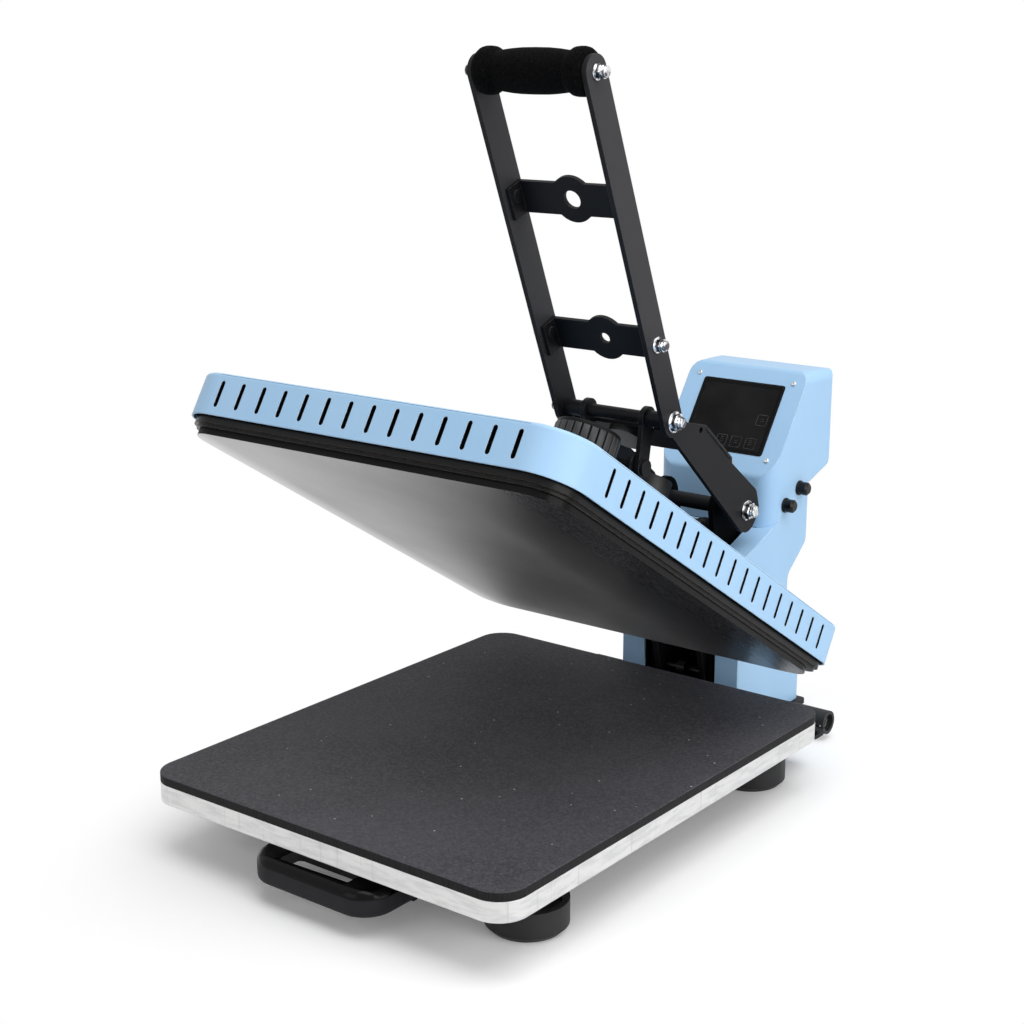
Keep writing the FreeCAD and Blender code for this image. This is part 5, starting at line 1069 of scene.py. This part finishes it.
slotted, tree, shader, sprayed = recoat(blue_coat, "blue_cover_with_painted_shade")
from_hinge = vector_sums(tree, "SUBTRACT", object_place(tree), HINGE)[0]
along_cover = vector_sums(tree, "DOT_PRODUCT", from_hinge, (0.0, cosine, -sine))["Value"]
up_cover = vector_sums(tree, "DOT_PRODUCT", from_hinge, (0.0, sine, cosine))["Value"]
across = sums(tree, "ABSOLUTE", place_along(tree, "X"))
in_length = between(tree, along_cover, COVER_FRONT + SLOT_DEPTH - HINGE[1],
                    COVER_REAR - SLOT_DEPTH - HINGE[1])
off_corners = between(tree, along_cover, COVER_FRONT + COVER_CORNER_FRONT - HINGE[1],
                      COVER_REAR - COVER_CORNER_REAR - HINGE[1])
in_width = sums(tree, "LESS_THAN", across, COVER_HALF - SLOT_DEPTH)
mid_width = sums(tree, "LESS_THAN", across, COVER_HALF - COVER_CORNER_FRONT)
in_height = between(tree, up_cover, SLOT_BAND[0] - HINGE[2], SLOT_BAND[1] - HINGE[2])
# Inside the cover and on the walls of the slots, the blue gives way to painted shade.
inside = sums(tree, "MAXIMUM", sums(tree, "MULTIPLY", in_length, mid_width),
              sums(tree, "MULTIPLY", off_corners, in_width))
dress(shader, Base_Color=over(tree, sums(tree, "MULTIPLY", inside, in_height), sprayed, SHADE_BLACK))
finish(slotted, "platen_cover")

# Insulation blanket.
# A loose quilt of ceramic wool lies between the heater and the backing plate. It fills the cover and swells a
# little between the plates at its edge. A well is cut through it for the pressure screw.
WOOL_LOW = (-0.1994, -0.3654, 0.1036)
WOOL_HIGH = (0.1994, 0.1394, 0.1280)
WOOL_MIDDLE = (0.0, -0.113, (WOOL_LOW[2] + WOOL_HIGH[2]) / 2)
WOOL_FRONT_ROUND = 0.036
WOOL_REAR_ROUND = 0.022
WOOL_SWELLS = ((0.008, 1.004), (0.002, 1.002))
WELL_RADIUS = 0.0160
WELL_HEIGHT = 0.040
WOOL_DARK = (0.012, 0.011, 0.010)
WOOL_PALE = (0.022, 0.021, 0.019)

wool, tree, shader = material("ceramic_wool", 0.9, specular=0.1)
grain = grain_in(tree, 260.0, 35.0)
dress(shader, Base_Color=shades(tree, grain["Shade"], (0.3, WOOL_DARK), (0.7, WOOL_PALE)),
      Normal=relief(tree, lines_across(tree, 120.0, 900.0, 900.0), 0.8, 0.0006))

quilt = start_block("wool_quilt", WOOL_LOW, WOOL_HIGH)
pick(quilt, "edges", lambda edge: upright(edge) and edge.verts[0].co.y < 0)
round_off(WOOL_FRONT_ROUND, 8)
pick(quilt, "edges", lambda edge: upright(edge) and edge.verts[0].co.y > WOOL_HIGH[1] - NEAR)
round_off(WOOL_REAR_ROUND, 6)
pick(quilt, "edges", upright)
bpy.ops.mesh.subdivide(number_cuts=3)
for reach, swell in WOOL_SWELLS:
    pick(quilt, "verts", lambda vert: abs(vert.co.z - WOOL_MIDDLE[2]) < reach)
    bpy.ops.transform.resize(value=(swell, swell, 1.0), center_override=WOOL_MIDDLE)
leave_edit()
well = start_rod("screw_well", (0.0, KNOB_CENTRE_Y, WOOL_MIDDLE[2]), WELL_RADIUS, WELL_HEIGHT, sides=48)
carve(quilt, well)
select_all()
turn(-OPEN_ANGLE, HINGE)
finish_piece(quilt, wool, "platen", smooth=50.0)
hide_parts("insulation_blanket")

# Handle linkage.
# Two bent side plates carry the handle. They turn on a lower shaft that runs through the uprights, and the
# hook links hang from an upper shaft between them. The sheet parts are laser-cut and powder-coated. Higher
# up, towards the grip, the broad faces of the side plates are painted paler: a painted highlight where light
# falls.
COAT_PAINTED_LIGHT = (0.045, 0.044, 0.048)
PAINTED_LIGHT_FROM = 0.36
PAINTED_LIGHT_TO = 0.46
PAINTED_LIGHT_SHARE = 0.9
PAINTED_LIGHT_EDGE = 0.15

painted_light_coat, tree, shader, sprayed = recoat(black_coat, "powder_coat_painted_light")
# Painted highlight: higher up, the broad faces of the side plates are painted paler, as the light falls
# there.
height_share = levels(tree, place_along(tree, "Z"), 0.0, PAINTED_LIGHT_SHARE, PAINTED_LIGHT_FROM, PAINTED_LIGHT_TO)
broad_face = levels(tree, sums(tree, "ABSOLUTE", facing_along(tree, "X")), PAINTED_LIGHT_EDGE, 1.0, 0.5, 0.9)
painted_light = sums(tree, "MULTIPLY", height_share, broad_face)
dress(shader, Base_Color=over(tree, painted_light, sprayed, COAT_PAINTED_LIGHT))
finish(painted_light_coat, "handle_side_plates")
finish(black_coat, "cross_strap_lower", "cross_strap_upper", "hook_links", "keeper_web", "upper_shaft",
       "upper_shaft_collars", "lower_shaft_spacers")
finish(dark_magnet, "keeper_disc")
finish(zinc, "lower_shaft", "grip_tube")

# Nuts, washers and stud ends.
# Every shaft of the handle ends in a stud with a chromed washer, a chamfered nut, a thin lock nut and a
# rounded thread, tightened against the outside of the side plates. The grip's left stud has a black cap.
CHROME_BRIGHT = (0.86, 0.86, 0.87)
CHROME_REFLECTION_DARK = (0.10, 0.10, 0.11)
PLATE_FACE = 0.0650
WASHER_THICK = 0.0016
WASHER_ROUND = 0.0004
NUT_THICK = 0.0052
NUT_SHARE = 0.86
NUT_ROUND = 0.0011
LOCK_THICK = 0.0022
LOCK_SHARE = 0.60
LOCK_WALL = 0.0008
LOCK_ROUND = 0.0007
STUD_REACH = 0.0765
STUD_ROUND = 0.0016
# The place along Y and Z, the washer's radius, the stud's radius, the body, and the node that it stands for
NUT_PLACES = {
    "upper_shaft": (0.0700, 0.3608, 0.0106, 0.0053, "handle", "handle_nuts"),
    "grip": (-0.06376, 0.6869, 0.0074, 0.0052, "handle", None),
    "strap": (0.0380, 0.4390, 0.0078, 0.0052, "handle", None),
    "lower_shaft": (0.2125, 0.2445, 0.0106, 0.0063, "base", "lower_shaft_nuts"),
}

# The chrome is painted in dark and bright patches: a painted reflection of dark and light surroundings.
chrome = bright_metal("chrome_painted_reflection", CHROME_BRIGHT, CHROME_REFLECTION_DARK, roughness=0.14, radius=0.0004, cloud=150.0,
                      dull_to=0.43, bright_from=0.56)


def soften(piece, at_x, offset, segments=3):
    """Rounds the edges of a turned piece that lie at one distance along X, and leaves edit mode."""
    pick_edges(piece, lambda spot: abs(spot.x - at_x) < NEAR)
    round_off(offset, segments)
    leave_edit()


for nut_name, (nut_y, nut_z, washer_radius, stud_radius, body, stands_for) in NUT_PLACES.items():
    stack = []
    start = PLATE_FACE
    for part, radius, stop, sides, rounding in (
            ("washer", washer_radius, start + WASHER_THICK, 40, WASHER_ROUND),
            ("nut", washer_radius * NUT_SHARE, start + WASHER_THICK + NUT_THICK, 6, NUT_ROUND),
            ("lock_nut", max(washer_radius * LOCK_SHARE, stud_radius + LOCK_WALL),
             start + WASHER_THICK + NUT_THICK + LOCK_THICK, 32, LOCK_ROUND),
            ("stud", stud_radius, STUD_REACH, 24, STUD_ROUND)):
        turned_part = start_rod(part, ((start + stop) / 2, nut_y, nut_z), radius, stop - start, sides, "X")
        soften(turned_part, stop, rounding)
        stack.append(turned_part)
        start = stop
    nuts = join("nuts_right_" + nut_name, stack)
    finish_piece(nuts, chrome, body, smooth=30.0)
    other = twin(nuts, "nuts_left_" + nut_name, Matrix.Scale(-1.0, 4, (1.0, 0.0, 0.0)))
    other.data.flip_normals()
    if nut_name == "grip":
        other.data.materials[0] = cap_plastic
    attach(other, body)
    if stands_for:
        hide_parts(stands_for)

# Strap rivets.
# The straps are riveted through their tabs to the side plates. The round steel heads are coated together
# with the straps.
RIVET_PLACES = ((1, -0.01703, 0.57315), (-1, -0.01703, 0.57315), (-1, 0.0380, 0.4390))
RIVET_INNER = 0.0546
RIVET_OUTER = 0.0590
RIVET_RADIUS = 0.0064
RIVET_ROUND = 0.0013

rivets = []
for side, rivet_y, rivet_z in RIVET_PLACES:
    rivet = start_rod("rivet", (side * (RIVET_INNER + RIVET_OUTER) / 2, rivet_y, rivet_z), RIVET_RADIUS,
                      RIVET_OUTER - RIVET_INNER, along="X")
    soften(rivet, side * RIVET_INNER, RIVET_ROUND, segments=4)
    rivets.append(rivet)
rivets = join("strap_rivets", rivets)
finish_piece(rivets, black_coat, "handle")

# Limit switch.
# A small orange switch body, clipped to the side plate, tells the controller that the press is shut.
ORANGE = (0.62, 0.17, 0.035)
ORANGE_PALE = (0.70, 0.21, 0.05)
ORANGE_WORN = (0.75, 0.35, 0.15)
BAND_FOOT = (0.0, 0.0700, 0.3608)
BAND_TURN = -39.22
SWITCH_LOW = (0.0530, 0.1185, 0.0150)
SWITCH_HIGH = (0.0598, 0.1335, 0.0292)
SWITCH_ROUND = 0.0008
SWITCH_BORDER = 0.0010
SWITCH_DEEP = 0.0004

orange = coat("orange_moulding", ORANGE, ORANGE_PALE, ORANGE_WORN, roughness=0.45, fineness=1800.0,
              depth=0.00004, radius=0.0006)


def lay_on_band():
    """Moves what is selected from level, Y along the crank band, to the band's own slope."""
    turn(BAND_TURN, (0.0, 0.0, 0.0))
    bpy.ops.transform.translate(value=BAND_FOOT)


switch = start_block("switch_body", SWITCH_LOW, SWITCH_HIGH)
select_all()
round_off(SWITCH_ROUND, 2)
pick(switch, "faces", on_top)
press_in(SWITCH_BORDER, SWITCH_DEEP)
select_all()
lay_on_band()
finish_piece(switch, orange, "handle")
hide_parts("limit_switch")

# Rolled lip of the side plates.
# The upper edge of each crank band is folded over and rolled smooth, so that it doesn't cut the hand.
LIP_LOW = (0.0512, 0.0585, 0.0242)
LIP_HIGH = (0.0658, 0.1180, 0.0287)
LIP_ROUND = 0.0036

for side, lip_name in ((1, "rolled_lip_right"), (-1, "rolled_lip_left")):
    lip = start_block(lip_name, (min(side * LIP_LOW[0], side * LIP_HIGH[0]), *LIP_LOW[1:]),
                      (max(side * LIP_LOW[0], side * LIP_HIGH[0]), *LIP_HIGH[1:]))
    pick_edges(lip, lambda spot: spot.z > LIP_HIGH[2] - NEAR)
    round_off(LIP_ROUND, 5)
    select_all()
    lay_on_band()
    finish_piece(lip, black_coat, "handle")

# Foam grip.
# A sleeve of black closed-cell foam, ground to a belly between two round collars, pushed on to the steel tube
# between the side plates. Here and there a speck of lint clings to it.
GRIP_START = (-0.0597, -0.06376, 0.6869)
GRIP_LENGTH = 0.1194
# Distances from the end and radii there, up to the middle
GRIP_STATIONS = (
    (0.0000, 0.0130), (0.0006, 0.0168), (0.0020, 0.0193), (0.0042, 0.0208), (0.0070, 0.0214),
    (0.0110, 0.0214), (0.0145, 0.0210), (0.0172, 0.0196), (0.0190, 0.0181), (0.0215, 0.0176),
    (0.0270, 0.0184), (0.0350, 0.0193), (0.0450, 0.0200), (0.0597, 0.0202),
)
FOAM_BLACK = (0.0009, 0.0009, 0.0010)
FOAM_PALE = (0.0045, 0.0045, 0.0049)
FOAM_LINT = (0.05, 0.05, 0.05)

foam, tree, shader = material("closed_cell_foam", 0.85, specular=0.04)
cells = add(tree, "ShaderNodeTexVoronoi", {"Vector": object_place(tree), "Scale": 1150.0})
lumps = grain_in(tree, 420.0, 60.0)["Height"]
bare_foam = shades(tree, lumps, (0.35, FOAM_BLACK), (0.70, FOAM_PALE))
lint = spots(tree, 210.0, 0.05, 0.13, 0.5, 1.0, share=0.6)
pores = sums(tree, "ADD", cells.outputs["Distance"], lumps)
dress(shader, Base_Color=over(tree, lint, bare_foam, FOAM_LINT), Normal=relief(tree, pores, 0.9, 0.0007))

bpy.ops.mesh.primitive_circle_add(vertices=64, radius=GRIP_STATIONS[0][1], fill_type="NOTHING",
                                  location=GRIP_START, rotation=(0, math.pi / 2, 0))
grip = start_editing("foam_sleeve")
select_all()
outline = list(GRIP_STATIONS) + [(GRIP_LENGTH - along, radius) for along, radius in GRIP_STATIONS[-2::-1]]
for (along, radius), (next_along, next_radius) in zip(outline, outline[1:]):
    bpy.ops.mesh.extrude_region_move(TRANSFORM_OT_translate={"value": (next_along - along, 0, 0)})
    swell = next_radius / radius
    bpy.ops.transform.resize(value=(1.0, swell, swell), center_override=(
        GRIP_START[0] + next_along, *GRIP_START[1:]))
bpy.ops.mesh.edge_face_add()
pick(grip, "verts", lambda vert: abs(vert.co.x - GRIP_START[0]) < NEAR)
bpy.ops.mesh.edge_face_add()
select_all()
bpy.ops.mesh.normals_make_consistent(inside=False)
finish_piece(grip, foam, "handle", smooth=60.0)
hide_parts("foam_grip")
